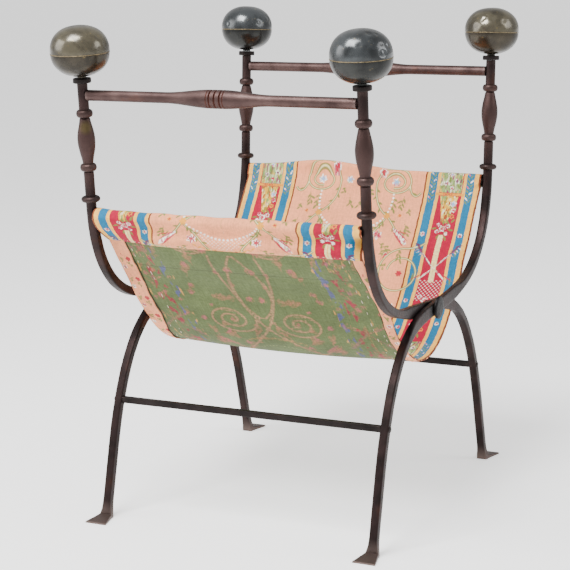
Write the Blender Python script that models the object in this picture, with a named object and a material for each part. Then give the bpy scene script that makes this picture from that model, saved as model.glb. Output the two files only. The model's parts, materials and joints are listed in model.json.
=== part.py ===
# Folding X-frame seat: two forged iron half-frames that cross and turn on rivets,
# hollow ball knobs on the posts, turned armrest rails and a cloth sling on two rods.
# Metres, +Z up, X along the armrest rails, floor at z = 0. The two half-frames are
# the same piece of work, turned half round the Z axis.
from math import acos, asin, atan2, cos, exp, pi, radians, sin

import bmesh
import bpy
from mathutils import Matrix, Vector

for old in list(bpy.data.objects):
    bpy.data.objects.remove(old, do_unlink=True)

# Clearance left wherever two pieces bear on or pass through each other
FIT = 0.0003

# Centreline of a half-frame bar
POST_X = 0.2350
POST_LEAN = radians(3.8)
ARC_TOP_Y = 0.2727
ARC_TOP_Z = 0.525
ARC_PULL_POST = 0.179
ARC_PULL_EYE = 0.137
PIVOT_Z = 0.334
EYE_SLOPE = radians(4.5)
LEG_PULL_EYE = 0.083
LEG_PULL_KNEE = 0.231
KNEE_Y = 0.240
KNEE_Z = 0.110
LEG_LEAN = radians(14.9)

# Sections of the bar
BAR_SIDES = 12
BAR_WIDE = 0.0135
BAR_DEEP = 0.0140
LEG_SQUARE = 0.0135
EYE_THICK = 0.0090
EYE_DEEP = 0.0215
EYE_REACH = 0.080
EYE_TAPER = 0.055
SOFT_EDGE = 7.0

# Shares of the arc: where the round bar has become square, and where it steps aside
ARC_SQUARED = 0.30
STEP_START = 0.30
STEP_END = 0.85

# Turned post: heights up from the top of the arc, or down from the post's shoulder
POST_R = 0.00815
POST_TALL = 0.1852
RING_UPPER_DROP = 0.0474
RING_MIDDLE_UP = 0.0528
RING_R = 0.0130
RING_H = 0.0120
BALUSTER_R = 0.0140
RING_LOWER_UP = 0.0021
RING_LOWER_R = 0.0150
RING_LOWER_H = 0.0100

# Foot
ANKLE_Z = 0.030
HEEL_AXIS_Z = 0.0047
TOE_Y = 0.305
TOE_WIDE = 0.0375
TOE_THICK = 0.0036
FOOT_SINK = 0.0007

# Ball knob, its collar and the riveted tenon that holds it
TENON_R = 0.0042
COLLAR_R = 0.01425
COLLAR_H = 0.0075
NECK_R = 0.0068
NECK_H = 0.0022
KNOB_R = 0.0461
KNOB_H = 0.0790
KNOB_POWER = 2.25
KNOB_WALL = 0.0016
KNOB_SEAM = -0.0025
SEAM_EDGE = 0.0012
SEAM_SLEEVE_H = 0.0080
SEAM_SLEEVE_T = 0.0012
KNOB_WASHER_R = 0.0100
KNOB_WASHER_H = 0.0020
TENON_HEAD_R = 0.0065
TENON_HEAD_H = 0.0026

# Armrest rail, let into the posts below their shoulders
RAIL_DROP = 0.0190
RAIL_END_R = 0.0085
RAIL_MID_R = 0.01425
RAIL_SWELL = 0.078
RAIL_GROOVE_GAP = 0.0088
RAIL_GROOVE_W = 0.0030
RAIL_GROOVE_D = 0.0016
CROSS_TENON_R = 0.0040
CROSS_TENON_PAST = 0.0020

# Seat rod
ROD_DROP = 0.0230
ROD_R = 0.0060

# Stretcher
STRETCHER_Z = 0.1867
STRETCHER_DEEP = 0.0095
STRETCHER_TALL = 0.0100
STRETCHER_HEAD_R = 0.0052
STRETCHER_HEAD_H = 0.0018

# Crossing rivet
RIVET_R = 0.0050
RIVET_HEAD_R = 0.0185
RIVET_HEAD_H = 0.0050
RIVET_WASHER_R = 0.0105
RIVET_WASHER_H = 0.0020
RIVET_END_R = 0.0080
RIVET_END_H = 0.0026

# Cloth sling
CLOTH_T = 0.0030
CLOTH_SIDE_GAP = 0.0030
POCKET_SLACK = 0.0006
POCKET_DEEP = 0.0420
POCKET_IN = 0.0320
POCKET_FOLD_R = 0.0006
POCKET_BEND = 0.42
SLING_LOW_Z = 0.2475
SLING_PULL_HEM = 0.118
SLING_PULL_LOW = 0.100
SLING_SAG = 0.0080
HEM_LIFT = 0.0070
FRONT_HEM_OUT = 0.0280
FRONT_HEM_FADE = 0.1000
FRONT_HEM_TURN = -0.45
SLING_RIPPLE = 0.0022
SLING_STEPS = 12
SLING_SLICES = 11

# The crossing bars lie side by side, so each half-frame stands off by half a bar
JOGGLE = (EYE_THICK + FIT) / 2

SHOULDER_Z = ARC_TOP_Z + POST_TALL
RING_UPPER_Z = SHOULDER_Z - RING_UPPER_DROP
RING_MIDDLE_Z = ARC_TOP_Z + RING_MIDDLE_UP
RING_LOWER_Z = ARC_TOP_Z + RING_LOWER_UP
RAIL_Z = SHOULDER_Z - RAIL_DROP

ACROSS = Vector((1.0, 0.0, 0.0))
POST_UP = Vector((0.0, sin(POST_LEAN), cos(POST_LEAN)))
LEG_DOWN = Vector((0.0, -sin(LEG_LEAN), -cos(LEG_LEAN)))
EYE_ALONG = Vector((0.0, -cos(EYE_SLOPE), -sin(EYE_SLOPE)))
ARC_TOP = Vector((0.0, ARC_TOP_Y, ARC_TOP_Z))
EYE = Vector((0.0, 0.0, PIVOT_Z))
KNEE = Vector((0.0, -KNEE_Y, KNEE_Z))
ARC = (ARC_TOP, ARC_TOP - POST_UP * ARC_PULL_POST, EYE - EYE_ALONG * ARC_PULL_EYE, EYE)
LEG = (EYE, EYE + EYE_ALONG * LEG_PULL_EYE, KNEE - LEG_DOWN * LEG_PULL_KNEE, KNEE)
KNOB_CENTRE = FIT * 2 + COLLAR_H + NECK_H + KNOB_H / 2
ROD_AT = ARC_TOP - POST_UP * ROD_DROP


def material(name, colour, metallic, roughness):
    mat = bpy.data.materials.new(name)
    mat.use_nodes = True
    shader = mat.node_tree.nodes["Principled BSDF"]
    shader.inputs["Base Color"].default_value = (*colour, 1.0)
    shader.inputs["Metallic"].default_value = metallic
    shader.inputs["Roughness"].default_value = roughness
    mat.diffuse_color = (*colour, 1.0)
    return mat


IRON = material("iron", (0.070, 0.050, 0.047), 0.8, 0.5)
BRONZE = material("bronze", (0.068, 0.068, 0.052), 0.9, 0.35)
BRASS = material("brass", (0.350, 0.250, 0.100), 1.0, 0.35)
CLOTH = material("cloth", (0.790, 0.470, 0.330), 0.0, 0.9)


def half_frame(name, turn):
    """Empty on the crossing axis that carries every piece of one half-frame."""
    holder = bpy.data.objects.new(name, None)
    holder.location = EYE
    holder.rotation_euler = (0.0, 0.0, turn)
    bpy.context.scene.collection.objects.link(holder)
    return holder


def piece(name, bm, mat, holder):
    """Close the mesh into an object whose origin is on the crossing axis."""
    bmesh.ops.recalc_face_normals(bm, faces=bm.faces)
    if bm.calc_volume(signed=True) < 0:
        bmesh.ops.reverse_faces(bm, faces=bm.faces)
    bm.transform(Matrix.Translation(-EYE))
    mesh = bpy.data.meshes.new(name)
    bm.to_mesh(mesh)
    bm.free()
    mesh.materials.append(mat)
    ob = bpy.data.objects.new(name, mesh)
    ob.parent = holder
    bpy.context.scene.collection.objects.link(ob)
    return ob


def cut(ob, cutter):
    cutter.hide_render = True
    cutter.display_type = "WIRE"
    mod = ob.modifiers.new("cut", "BOOLEAN")
    mod.operation = "DIFFERENCE"
    mod.solver = "EXACT"
    mod.object = cutter


def turned(profile, sides, place, ring=False):
    """Spin a profile of (radius, height) points round Z, then put it in place."""
    bm = bmesh.new()
    verts = [bm.verts.new((r, 0.0, h)) for r, h in profile]
    edges = [bm.edges.new(pair) for pair in zip(verts, verts[1:])]
    if ring:
        edges.append(bm.edges.new((verts[-1], verts[0])))
    bmesh.ops.spin(
        bm, geom=verts + edges, axis=(0, 0, 1), cent=(0, 0, 0),
        angle=2 * pi, steps=sides, use_merge=True,
    )
    bmesh.ops.remove_doubles(bm, verts=bm.verts, dist=1e-6)
    bm.transform(place)
    return bm


def along_x(x, y, z):
    """Placement that lays a turned piece's axis along +X."""
    return Matrix.Translation((x, y, z)) @ Matrix.Rotation(pi / 2, 4, "Y")


def bend(points, t):
    """Point and direction of travel on a cubic bend."""
    a, b, c, d = points
    s = 1.0 - t
    at = a * s**3 + b * (3 * s * s * t) + c * (3 * s * t * t) + d * t**3
    way = (b - a) * (s * s) + (c - b) * (2 * s * t) + (d - c) * (t * t)
    return at, way.normalized()


def leg_at(z):
    """Point of the leg's centreline at a height, found by halving."""
    low, high = 0.0, 1.0
    for _ in range(40):
        mid = (low + high) / 2
        if bend(LEG, mid)[0].z > z:
            low = mid
        else:
            high = mid
    return bend(LEG, low)[0]


def ease(start, end, t):
    """Smooth step from 0 at start to 1 at end."""
    u = min(1.0, max(0.0, (t - start) / (end - start)))
    return u * u * (3 - 2 * u)


def mix(a, b, u):
    return a + (b - a) * u


def post_at(z):
    return ARC_TOP + POST_UP * ((z - ARC_TOP_Z) / cos(POST_LEAN))


def bead(z, height, radius, steps=4):
    """Heights and radii of a half-round bead on the post, from the top down."""
    for k in range(steps + 1):
        a = pi * k / steps
        yield z + cos(a) * height / 2, mix(POST_R, radius, sin(a))


def post_profile():
    """Heights and radii of the turned post, from the hammered tenon head down."""
    washer_top = KNOB_CENTRE - KNOB_H / 2 + KNOB_WALL + FIT + KNOB_WASHER_H
    head = SHOULDER_Z + washer_top + FIT
    yield head + TENON_HEAD_H, TENON_HEAD_R * 0.6
    yield head + TENON_HEAD_H * 0.55, TENON_HEAD_R
    yield head, TENON_HEAD_R
    yield head, TENON_R
    yield SHOULDER_Z, TENON_R
    yield SHOULDER_Z, POST_R
    yield from bead(RING_UPPER_Z, RING_H, RING_R)
    top = RING_UPPER_Z - RING_H / 2
    low = RING_MIDDLE_Z + RING_H / 2
    for k in range(1, 6):
        u = k / 6
        yield mix(top, low, u), mix(POST_R, BALUSTER_R, sin(pi * u) ** 1.4)
    yield from bead(RING_MIDDLE_Z, RING_H, RING_R)
    yield from bead(RING_LOWER_Z, RING_LOWER_H, RING_LOWER_R)


def bar_stations(side):
    """Centre, direction, half sizes and squareness of each section of one bar."""
    x = side * POST_X
    for z, r in post_profile():
        yield post_at(z) + ACROSS * x, -POST_UP, r, r, 2.0
    arc_start = 0.03
    for k in range(11):
        t = mix(arc_start, 1.0, k / 10)
        at, way = bend(ARC, t)
        squared = ease(0.0, ARC_SQUARED, t)
        flat = 1.0 - ease(EYE_REACH, EYE_REACH + EYE_TAPER, at.y)
        wide = mix(mix(POST_R, BAR_WIDE / 2, squared), EYE_THICK / 2, flat)
        deep = mix(mix(POST_R, BAR_DEEP / 2, squared), EYE_DEEP / 2, flat)
        shift = x + JOGGLE * ease(STEP_START, STEP_END, t)
        yield at + ACROSS * shift, way, wide, deep, mix(2.0, SOFT_EDGE, squared)
    x += JOGGLE
    for k in range(1, 11):
        t = k / 10
        at, way = bend(LEG, t)
        drawn = ease(EYE_REACH, EYE_REACH + EYE_TAPER, -at.y)
        wide = mix(EYE_THICK, LEG_SQUARE, drawn) / 2
        deep = mix(EYE_DEEP, LEG_SQUARE, drawn) / 2
        yield at + ACROSS * x, way, wide, deep, SOFT_EDGE
    half = LEG_SQUARE / 2
    ankle = KNEE + LEG_DOWN * ((KNEE_Z - ANKLE_Z) / cos(LEG_LEAN))
    yield ankle + ACROSS * x, LEG_DOWN, half, half, SOFT_EDGE
    flare = mix(ankle, KNEE, -(ankle.z - HEEL_AXIS_Z) * 0.45 / (KNEE_Z - ANKLE_Z))
    yield flare + ACROSS * x, LEG_DOWN, half * 1.12, half, SOFT_EDGE
    # The heel is a mitred bend: its section lies on the bisector of leg and toe
    outward = Vector((0.0, -1.0, 0.0))
    bisector = (LEG_DOWN + outward).normalized()
    mitre = 1.0 / LEG_DOWN.dot(bisector)
    heel = KNEE + LEG_DOWN * ((KNEE_Z - HEEL_AXIS_Z) / cos(LEG_LEAN))
    yield heel + ACROSS * x, bisector, half * 1.45, HEEL_AXIS_Z * 1.3 * mitre, SOFT_EDGE
    for u in (0.5, 1.0):
        thick = mix(HEEL_AXIS_Z * 1.8, TOE_THICK, u)
        at = Vector((x, mix(heel.y, -TOE_Y, u), thick / 2 - FOOT_SINK))
        yield at, outward, mix(half * 1.45, TOE_WIDE / 2, u), thick / 2, SOFT_EDGE


def frame_bar(name, side, holder):
    """One bar: turned post, bent arc, flattened eye, square leg and spread foot."""
    bm = bmesh.new()
    rings = []
    for at, way, wide, deep, power in bar_stations(side):
        normal = ACROSS.cross(way)
        ring = []
        for k in range(BAR_SIDES):
            a = 2 * pi * (k + 0.5) / BAR_SIDES
            u = abs(cos(a)) ** (2 / power) * (1 if cos(a) > 0 else -1)
            v = abs(sin(a)) ** (2 / power) * (1 if sin(a) > 0 else -1)
            ring.append(bm.verts.new(at + ACROSS * (wide * u) + normal * (deep * v)))
        rings.append(ring)
    for first, second in zip(rings, rings[1:]):
        for k in range(BAR_SIDES):
            n = (k + 1) % BAR_SIDES
            bm.faces.new((first[k], first[n], second[n], second[k]))
    bm.faces.new(rings[0])
    bm.faces.new(rings[-1])
    bmesh.ops.recalc_face_normals(bm, faces=bm.faces)
    # The sole is ground flat on the floor plane
    geom = bm.verts[:] + bm.edges[:] + bm.faces[:]
    bmesh.ops.bisect_plane(bm, geom=geom, plane_co=(0, 0, 0), plane_no=(0, 0, 1), clear_inner=True)
    bmesh.ops.holes_fill(bm, edges=[e for e in bm.edges if e.is_boundary], sides=0)
    return piece(name, bm, IRON, holder)


def cross_hole(name, at, radius, reach, holder):
    """Cutter along X through both bars of a half-frame."""
    profile = ((0.0, -reach), (radius, -reach), (radius, reach), (0.0, reach))
    bm = turned(profile, 16, along_x(0.0, at.y, at.z))
    return piece(name, bm, IRON, holder)


def knob_curve(radius, half, start, end, steps):
    """Points of the ball's outline between two angles from its equator."""
    for k in range(steps + 1):
        a = mix(start, end, k / steps)
        c = abs(cos(a)) ** (2 / KNOB_POWER)
        s = abs(sin(a)) ** (2 / KNOB_POWER) * (1 if sin(a) > 0 else -1)
        yield radius * c, half * s


def knob_angle(half, height):
    """Angle on the outline at a height above the ball's centre."""
    u = abs(height / half) ** (KNOB_POWER / 2)
    return asin(u) * (1 if height > 0 else -1)


def knob_radius(radius, half, height):
    return radius * (1 - abs(height / half) ** KNOB_POWER) ** (1 / KNOB_POWER)


def knob_place(side):
    """Placement on the post's shoulder, along the leaning post."""
    lean = Matrix.Rotation(-POST_LEAN, 4, "X")
    return Matrix.Translation(post_at(SHOULDER_Z) + ACROSS * (side * POST_X)) @ lean


def knob_upper_shell(name, side, holder):
    half = KNOB_H / 2
    edge = KNOB_SEAM + SEAM_EDGE / 2 + FIT
    outer = list(knob_curve(KNOB_R, half, knob_angle(half, edge), pi / 2, 7))
    inner_r, inner_half = KNOB_R - KNOB_WALL, half - KNOB_WALL
    rise = knob_angle(inner_half, KNOB_SEAM + SEAM_SLEEVE_H / 2)
    inner = list(knob_curve(inner_r, inner_half, knob_angle(inner_half, edge), rise, 1))
    inner += list(knob_curve(inner_r, inner_half, rise, pi / 2, 4))[1:]
    profile = [(0.0, half)] + outer[-2::-1] + inner[:-1] + [(0.0, inner_half)]
    raised = Matrix.Translation((0.0, 0.0, KNOB_CENTRE))
    return piece(name, turned(profile, 24, knob_place(side) @ raised), BRONZE, holder)


def knob_lower_shell(name, side, holder):
    half = KNOB_H / 2
    edge = KNOB_SEAM - SEAM_EDGE / 2 - FIT
    neck = -acos((NECK_R / KNOB_R) ** (KNOB_POWER / 2))
    outer = list(knob_curve(KNOB_R, half, knob_angle(half, edge), neck, 6))
    inner_r, inner_half = KNOB_R - KNOB_WALL, half - KNOB_WALL
    floor_r = KNOB_WASHER_R * 1.2
    floor = -acos((floor_r / inner_r) ** (KNOB_POWER / 2))
    drop = knob_angle(inner_half, KNOB_SEAM - SEAM_SLEEVE_H / 2)
    inner = list(knob_curve(inner_r, inner_half, knob_angle(inner_half, edge), drop, 1))
    inner += list(knob_curve(inner_r, inner_half, drop, floor, 3))[1:]
    bore = TENON_R + FIT
    profile = outer + [(NECK_R, -half - NECK_H), (bore, -half - NECK_H)]
    profile += [(bore, -inner_half), (floor_r, -inner_half)] + inner[::-1]
    raised = Matrix.Translation((0.0, 0.0, KNOB_CENTRE))
    bm = turned(profile, 24, knob_place(side) @ raised, ring=True)
    return piece(name, bm, BRONZE, holder)


def knob_seam_ring(name, side, holder):
    """Sleeve inside both shells with a thin edge that shows between them."""
    half = KNOB_H / 2
    reach = SEAM_SLEEVE_H / 2
    low = abs(KNOB_SEAM) + reach
    sleeve = knob_radius(KNOB_R - KNOB_WALL, half - KNOB_WALL, low) - FIT
    bore = sleeve - SEAM_SLEEVE_T
    rim = knob_radius(KNOB_R, half, KNOB_SEAM)
    e = SEAM_EDGE / 2
    profile = [(bore, -reach), (sleeve, -reach), (sleeve, -e), (rim, -e)]
    profile += [(rim, e), (sleeve, e), (sleeve, reach), (bore, reach)]
    raised = Matrix.Translation((0.0, 0.0, KNOB_CENTRE + KNOB_SEAM))
    bm = turned(profile, 24, knob_place(side) @ raised, ring=True)
    return piece(name, bm, BRASS, holder)


def knob_collar(name, side, holder):
    soft = COLLAR_H * 0.18
    low, high = FIT, FIT + COLLAR_H
    bore = TENON_R + FIT
    profile = [(bore, low), (COLLAR_R - soft, low), (COLLAR_R, low + soft)]
    profile += [(COLLAR_R, high - soft), (COLLAR_R - soft, high), (bore, high)]
    return piece(name, turned(profile, 20, knob_place(side), ring=True), IRON, holder)


def knob_washer(name, side, holder):
    low = KNOB_CENTRE - KNOB_H / 2 + KNOB_WALL + FIT
    high = low + KNOB_WASHER_H
    bore = TENON_R + FIT
    profile = [(bore, low), (KNOB_WASHER_R, low), (KNOB_WASHER_R, high), (bore, high)]
    return piece(name, turned(profile, 12, knob_place(side), ring=True), IRON, holder)


def cross_tenon():
    """Half length and shoulder of a bar let into both posts of a half-frame."""
    return POST_X + CROSS_TENON_PAST, POST_X - POST_R - FIT


def armrest_rail(name, holder):
    """Turned rail: thin ends, a long swelling, and cut beads at the middle."""
    end, shoulder = cross_tenon()
    right = []
    for k in (-1, 0, 1):
        middle = k * RAIL_GROOVE_GAP
        right += [(RAIL_MID_R, middle - RAIL_GROOVE_W / 2)]
        right += [(RAIL_MID_R - RAIL_GROOVE_D, middle), (RAIL_MID_R, middle + RAIL_GROOVE_W / 2)]
    beads = RAIL_GROOVE_GAP + RAIL_GROOVE_W / 2
    swell = []
    for k in range(1, 6):
        u = k / 5
        swell.append((mix(RAIL_MID_R, RAIL_END_R, ease(0, 1, u)), beads + RAIL_SWELL * u))
    tip = [(RAIL_END_R, shoulder), (CROSS_TENON_R, shoulder), (CROSS_TENON_R, end), (0.0, end)]
    out = swell + tip
    back = [(r, -h) for r, h in out[::-1]]
    rail = post_at(RAIL_Z)
    return piece(name, turned(back + right + out, 16, along_x(0.0, rail.y, RAIL_Z)), IRON, holder)


def seat_rod(name, holder):
    end, shoulder = cross_tenon()
    out = [(ROD_R, shoulder), (CROSS_TENON_R, shoulder), (CROSS_TENON_R, end), (0.0, end)]
    back = [(r, -h) for r, h in out[::-1]]
    return piece(name, turned(back + out, 16, along_x(0.0, ROD_AT.y, ROD_AT.z)), IRON, holder)


def stretcher(name, holder):
    """Flat-sided bar with a round tenon through each leg, hammered over outside."""
    at = leg_at(STRETCHER_Z)
    inside = POST_X - LEG_SQUARE / 2 - FIT
    outside = POST_X + LEG_SQUARE / 2 + FIT
    bm = bmesh.new()
    sides = 16
    tall, deep = STRETCHER_TALL / 2, STRETCHER_DEEP / 2
    head = outside + STRETCHER_HEAD_H
    rings = []

    def ring(x, point):
        rings.append([])
        for k in range(sides):
            y, z = point(2 * pi * (k + 0.5) / sides)
            rings[-1].append(bm.verts.new((x + JOGGLE, at.y + y, at.z + z)))

    def flat(a):
        c, s = cos(a), sin(a)
        m = max(abs(c), abs(s))
        return deep * c / m, tall * s / m

    def circle(r):
        return lambda a: (r * cos(a), r * sin(a))

    ring(-head, circle(STRETCHER_HEAD_R * 0.7))
    ring(-outside, circle(STRETCHER_HEAD_R))
    ring(-outside, circle(CROSS_TENON_R))
    ring(-inside, circle(CROSS_TENON_R))
    ring(-inside, flat)
    ring(inside, flat)
    ring(inside, circle(CROSS_TENON_R))
    ring(outside, circle(CROSS_TENON_R))
    ring(outside, circle(STRETCHER_HEAD_R))
    ring(head, circle(STRETCHER_HEAD_R * 0.7))
    for first, second in zip(rings, rings[1:]):
        for k in range(sides):
            n = (k + 1) % sides
            bm.faces.new((first[k], first[n], second[n], second[k]))
    bm.faces.new(rings[0])
    bm.faces.new(rings[-1])
    return piece(name, bm, IRON, holder)


def rivet_faces():
    """Outer and inner faces of the two eyes on a crossing, from the middle plane."""
    return POST_X + JOGGLE + EYE_THICK / 2, POST_X - JOGGLE - EYE_THICK / 2


def crossing_rivet(name, turn, holder):
    outer, inner = rivet_faces()
    head = outer + FIT
    end = inner - FIT * 2 - RIVET_WASHER_H
    soft = RIVET_HEAD_H * 0.3
    profile = [(0.0, end - RIVET_END_H), (RIVET_END_R * 0.6, end - RIVET_END_H)]
    profile += [(RIVET_END_R, end - RIVET_END_H * 0.45), (RIVET_END_R, end), (RIVET_R, end)]
    profile += [(RIVET_R, head), (RIVET_HEAD_R, head), (RIVET_HEAD_R, head + RIVET_HEAD_H - soft)]
    profile += [(RIVET_HEAD_R - soft, head + RIVET_HEAD_H), (0.0, head + RIVET_HEAD_H)]
    place = Matrix.Rotation(turn, 4, "Z") @ along_x(0.0, 0.0, PIVOT_Z)
    return piece(name, turned(profile, 20, place), IRON, holder)


def rivet_washer(name, turn, holder):
    inner = rivet_faces()[1] - FIT
    bore = RIVET_R + FIT
    profile = [(bore, inner - RIVET_WASHER_H), (RIVET_WASHER_R, inner - RIVET_WASHER_H)]
    profile += [(RIVET_WASHER_R, inner), (bore, inner)]
    place = Matrix.Rotation(turn, 4, "Z") @ along_x(0.0, 0.0, PIVOT_Z)
    return piece(name, turned(profile, 20, place, ring=True), IRON, holder)


def sling_section():
    """Points and four-cornered cells of the sling's outline in the YZ plane, for the
    half that hangs on the back rod. Each pocket is a ring of cells round its rod, and
    the ribbon of cells below it starts on the ring's stitched end."""
    rod = Vector((ROD_AT.y, ROD_AT.z))
    stitch = rod + Vector((-POCKET_IN, -POCKET_DEEP))
    around = ROD_R + FIT + POCKET_SLACK
    down = (stitch - rod).normalized()
    away = atan2(down.y, down.x)
    open_angle = acos((around - POCKET_FOLD_R) / (stitch - rod).length)
    neck = asin(CLOTH_T / 2 / (POCKET_FOLD_R + CLOTH_T))
    steps = 8
    spots = [(stitch, POCKET_FOLD_R, away + a) for a in (-open_angle, -neck, neck, open_angle)]
    # Each wall can bend at a share of its length below the rod
    bent, bent_r = mix(rod, stitch, POCKET_BEND), mix(around, POCKET_FOLD_R, POCKET_BEND)
    spots.append((bent, bent_r, away + open_angle))
    for k in range(steps + 1):
        spots.append((rod, around, mix(away + open_angle, away - open_angle + 2 * pi, k / steps)))
    spots.append((bent, bent_r, away - open_angle))
    points, cells = [], []
    for centre, radius, a in spots:
        n = Vector((cos(a), sin(a)))
        points += [centre + n * radius, centre + n * (radius + CLOTH_T)]
    count = len(spots)
    for k in range(count):
        n = (k + 1) % count
        cells.append((2 * k, 2 * k + 1, 2 * n + 1, 2 * n))
    start = (points[3] + points[5]) / 2
    low = Vector((0.0, SLING_LOW_Z))
    path = (start, start + down * SLING_PULL_HEM, low + Vector((SLING_PULL_LOW, 0.0)), low)
    # Inner side first all the way down, beginning with the ring's two lowest corners
    last = (3, 5)
    for k in range(1, SLING_STEPS + 1):
        at, way = bend(path, k / SLING_STEPS)
        side = Vector((way.y, -way.x)) * (CLOTH_T / 2)
        points += [at + side, at - side]
        fresh = (len(points) - 2, len(points) - 1)
        cells.append((last[0], last[1], fresh[1], fresh[0]))
        last = fresh
    return points, cells, last


def sling(name, holder):
    """Cloth from rod to rod: hanging U with a stitched pocket at each end, a slight
    sag at the middle and shallow folds that run from hem to hem."""
    half_points, half_cells, seam = sling_section()
    count = len(half_points)
    points = [(p.x, p.y) for p in half_points]
    twin = {}
    for k, p in enumerate(half_points):
        # The two lowest points are shared by both halves
        if k in seam:
            twin[k] = k
        else:
            twin[k] = len(points)
            points.append((-p.x, p.y))
    cells = half_cells + [tuple(twin[k] for k in cell) for cell in half_cells]
    edges = {}
    for cell in cells:
        for pair in zip(cell, cell[1:] + cell[:1]):
            key = tuple(sorted(pair))
            edges[key] = edges.get(key, 0) + 1
    rim = [pair for pair, uses in edges.items() if uses == 1]
    wide = POST_X - POST_R - CLOTH_SIDE_GAP
    hem = ROD_AT.z - POCKET_DEEP
    bm = bmesh.new()
    slices = []
    for i in range(SLING_SLICES + 1):
        u = mix(-1.0, 1.0, i / SLING_SLICES)
        row = []
        for y, z in points:
            free = 1.0 - ease(SLING_LOW_Z, hem, z)
            panel = 4.0 * free * (1.0 - free)
            drop = SLING_SAG * free * (1.0 - u * u)
            fold = SLING_RIPPLE * panel * sin(u * 6.5 + (1.1 if y > 0 else 0.2))
            out = 1.0 if y > 0 else -1.0
            # The back hem rides up on its rod over the left half
            lift = HEM_LIFT * exp(-(((u + 0.42) / 0.34) ** 2)) if z > ROD_AT.z and y > 0 else 0.0
            # The front hem hangs nearly plumb from its rod, and turns in at its left end
            swing = 0.0
            if y < 0:
                below = ease(ROD_AT.z - ROD_R * 2, hem, z) * (1.0 - ease(hem, hem - FRONT_HEM_FADE, z))
                swing = FRONT_HEM_OUT * below * ease(-1.0, FRONT_HEM_TURN, u)
            row.append(bm.verts.new((u * wide, y + out * (fold + swing), z - drop + lift)))
        slices.append(row)
    for cell in cells:
        bm.faces.new([slices[0][k] for k in cell])
        bm.faces.new([slices[-1][k] for k in cell])
    for first, second in zip(slices, slices[1:]):
        for a, b in rim:
            bm.faces.new((first[a], first[b], second[b], second[a]))
    return piece(name, bm, CLOTH, holder)


holders = {}
for half, opposite, turn in (("back", "front", 0.0), ("front", "back", pi)):
    holder = half_frame(half + "_half", turn)
    holders[half] = holder
    blind = cross_tenon()[0] + FIT
    through = POST_X * 1.2
    holes = [
        cross_hole(half + "_rail_seat", post_at(RAIL_Z), CROSS_TENON_R + FIT, blind, holder),
        cross_hole(half + "_rod_seat", ROD_AT, CROSS_TENON_R + FIT, blind, holder),
        cross_hole(half + "_stretcher_hole", leg_at(STRETCHER_Z), CROSS_TENON_R + FIT, through, holder),
        cross_hole(half + "_rivet_hole", EYE, RIVET_R + FIT, through, holder),
    ]
    for side in (1, -1):
        hand = "right" if side * cos(turn) > 0 else "left"
        corner = half + "_" + hand
        bar = frame_bar(corner + "_frame_bar", side, holder)
        for hole in holes:
            cut(bar, hole)
        knob_collar(corner + "_knob_collar", side, holder)
        knob_lower_shell(corner + "_knob_lower_shell", side, holder)
        knob_seam_ring(corner + "_knob_seam_ring", side, holder)
        knob_upper_shell(corner + "_knob_upper_shell", side, holder)
        knob_washer(corner + "_knob_washer", side, holder)
    armrest_rail(half + "_armrest_rail", holder)
    seat_rod(half + "_seat_rod", holder)
    stretcher(opposite + "_stretcher", holder)

for hand, turn in (("right", 0.0), ("left", pi)):
    crossing_rivet(hand + "_crossing_rivet", turn, holders["back"])
    rivet_washer(hand + "_rivet_washer", turn, holders["back"])

sling("seat_sling", holders["back"])
bpy.context.view_layer.update()
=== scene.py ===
import json
from functools import partial
from math import acos, asin, atan2, cos, exp, pi, radians, sin, tau
from random import Random

import bmesh
import bpy
import numpy as np
from mathutils import Matrix, Vector, noise
from mathutils.kdtree import KDTree

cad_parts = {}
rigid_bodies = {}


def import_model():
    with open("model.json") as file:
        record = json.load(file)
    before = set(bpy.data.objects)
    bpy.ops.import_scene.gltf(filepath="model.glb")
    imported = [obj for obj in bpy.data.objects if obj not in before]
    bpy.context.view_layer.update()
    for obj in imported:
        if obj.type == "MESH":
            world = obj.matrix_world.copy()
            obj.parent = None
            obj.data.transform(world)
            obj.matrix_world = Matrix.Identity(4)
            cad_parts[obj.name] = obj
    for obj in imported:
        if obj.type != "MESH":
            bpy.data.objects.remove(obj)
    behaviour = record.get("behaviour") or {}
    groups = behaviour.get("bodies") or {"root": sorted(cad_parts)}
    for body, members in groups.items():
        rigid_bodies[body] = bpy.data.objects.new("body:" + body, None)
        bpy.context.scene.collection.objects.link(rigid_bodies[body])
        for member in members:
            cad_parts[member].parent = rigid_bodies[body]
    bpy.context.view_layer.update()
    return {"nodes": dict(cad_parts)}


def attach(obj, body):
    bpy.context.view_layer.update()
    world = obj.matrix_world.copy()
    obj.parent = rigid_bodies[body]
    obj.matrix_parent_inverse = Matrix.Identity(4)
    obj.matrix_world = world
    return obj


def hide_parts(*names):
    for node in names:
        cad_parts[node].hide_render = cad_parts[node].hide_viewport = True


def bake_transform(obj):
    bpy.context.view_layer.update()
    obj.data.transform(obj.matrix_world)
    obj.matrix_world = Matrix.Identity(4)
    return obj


for old in list(bpy.data.objects):
    bpy.data.objects.remove(old, do_unlink=True)
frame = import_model()


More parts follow.
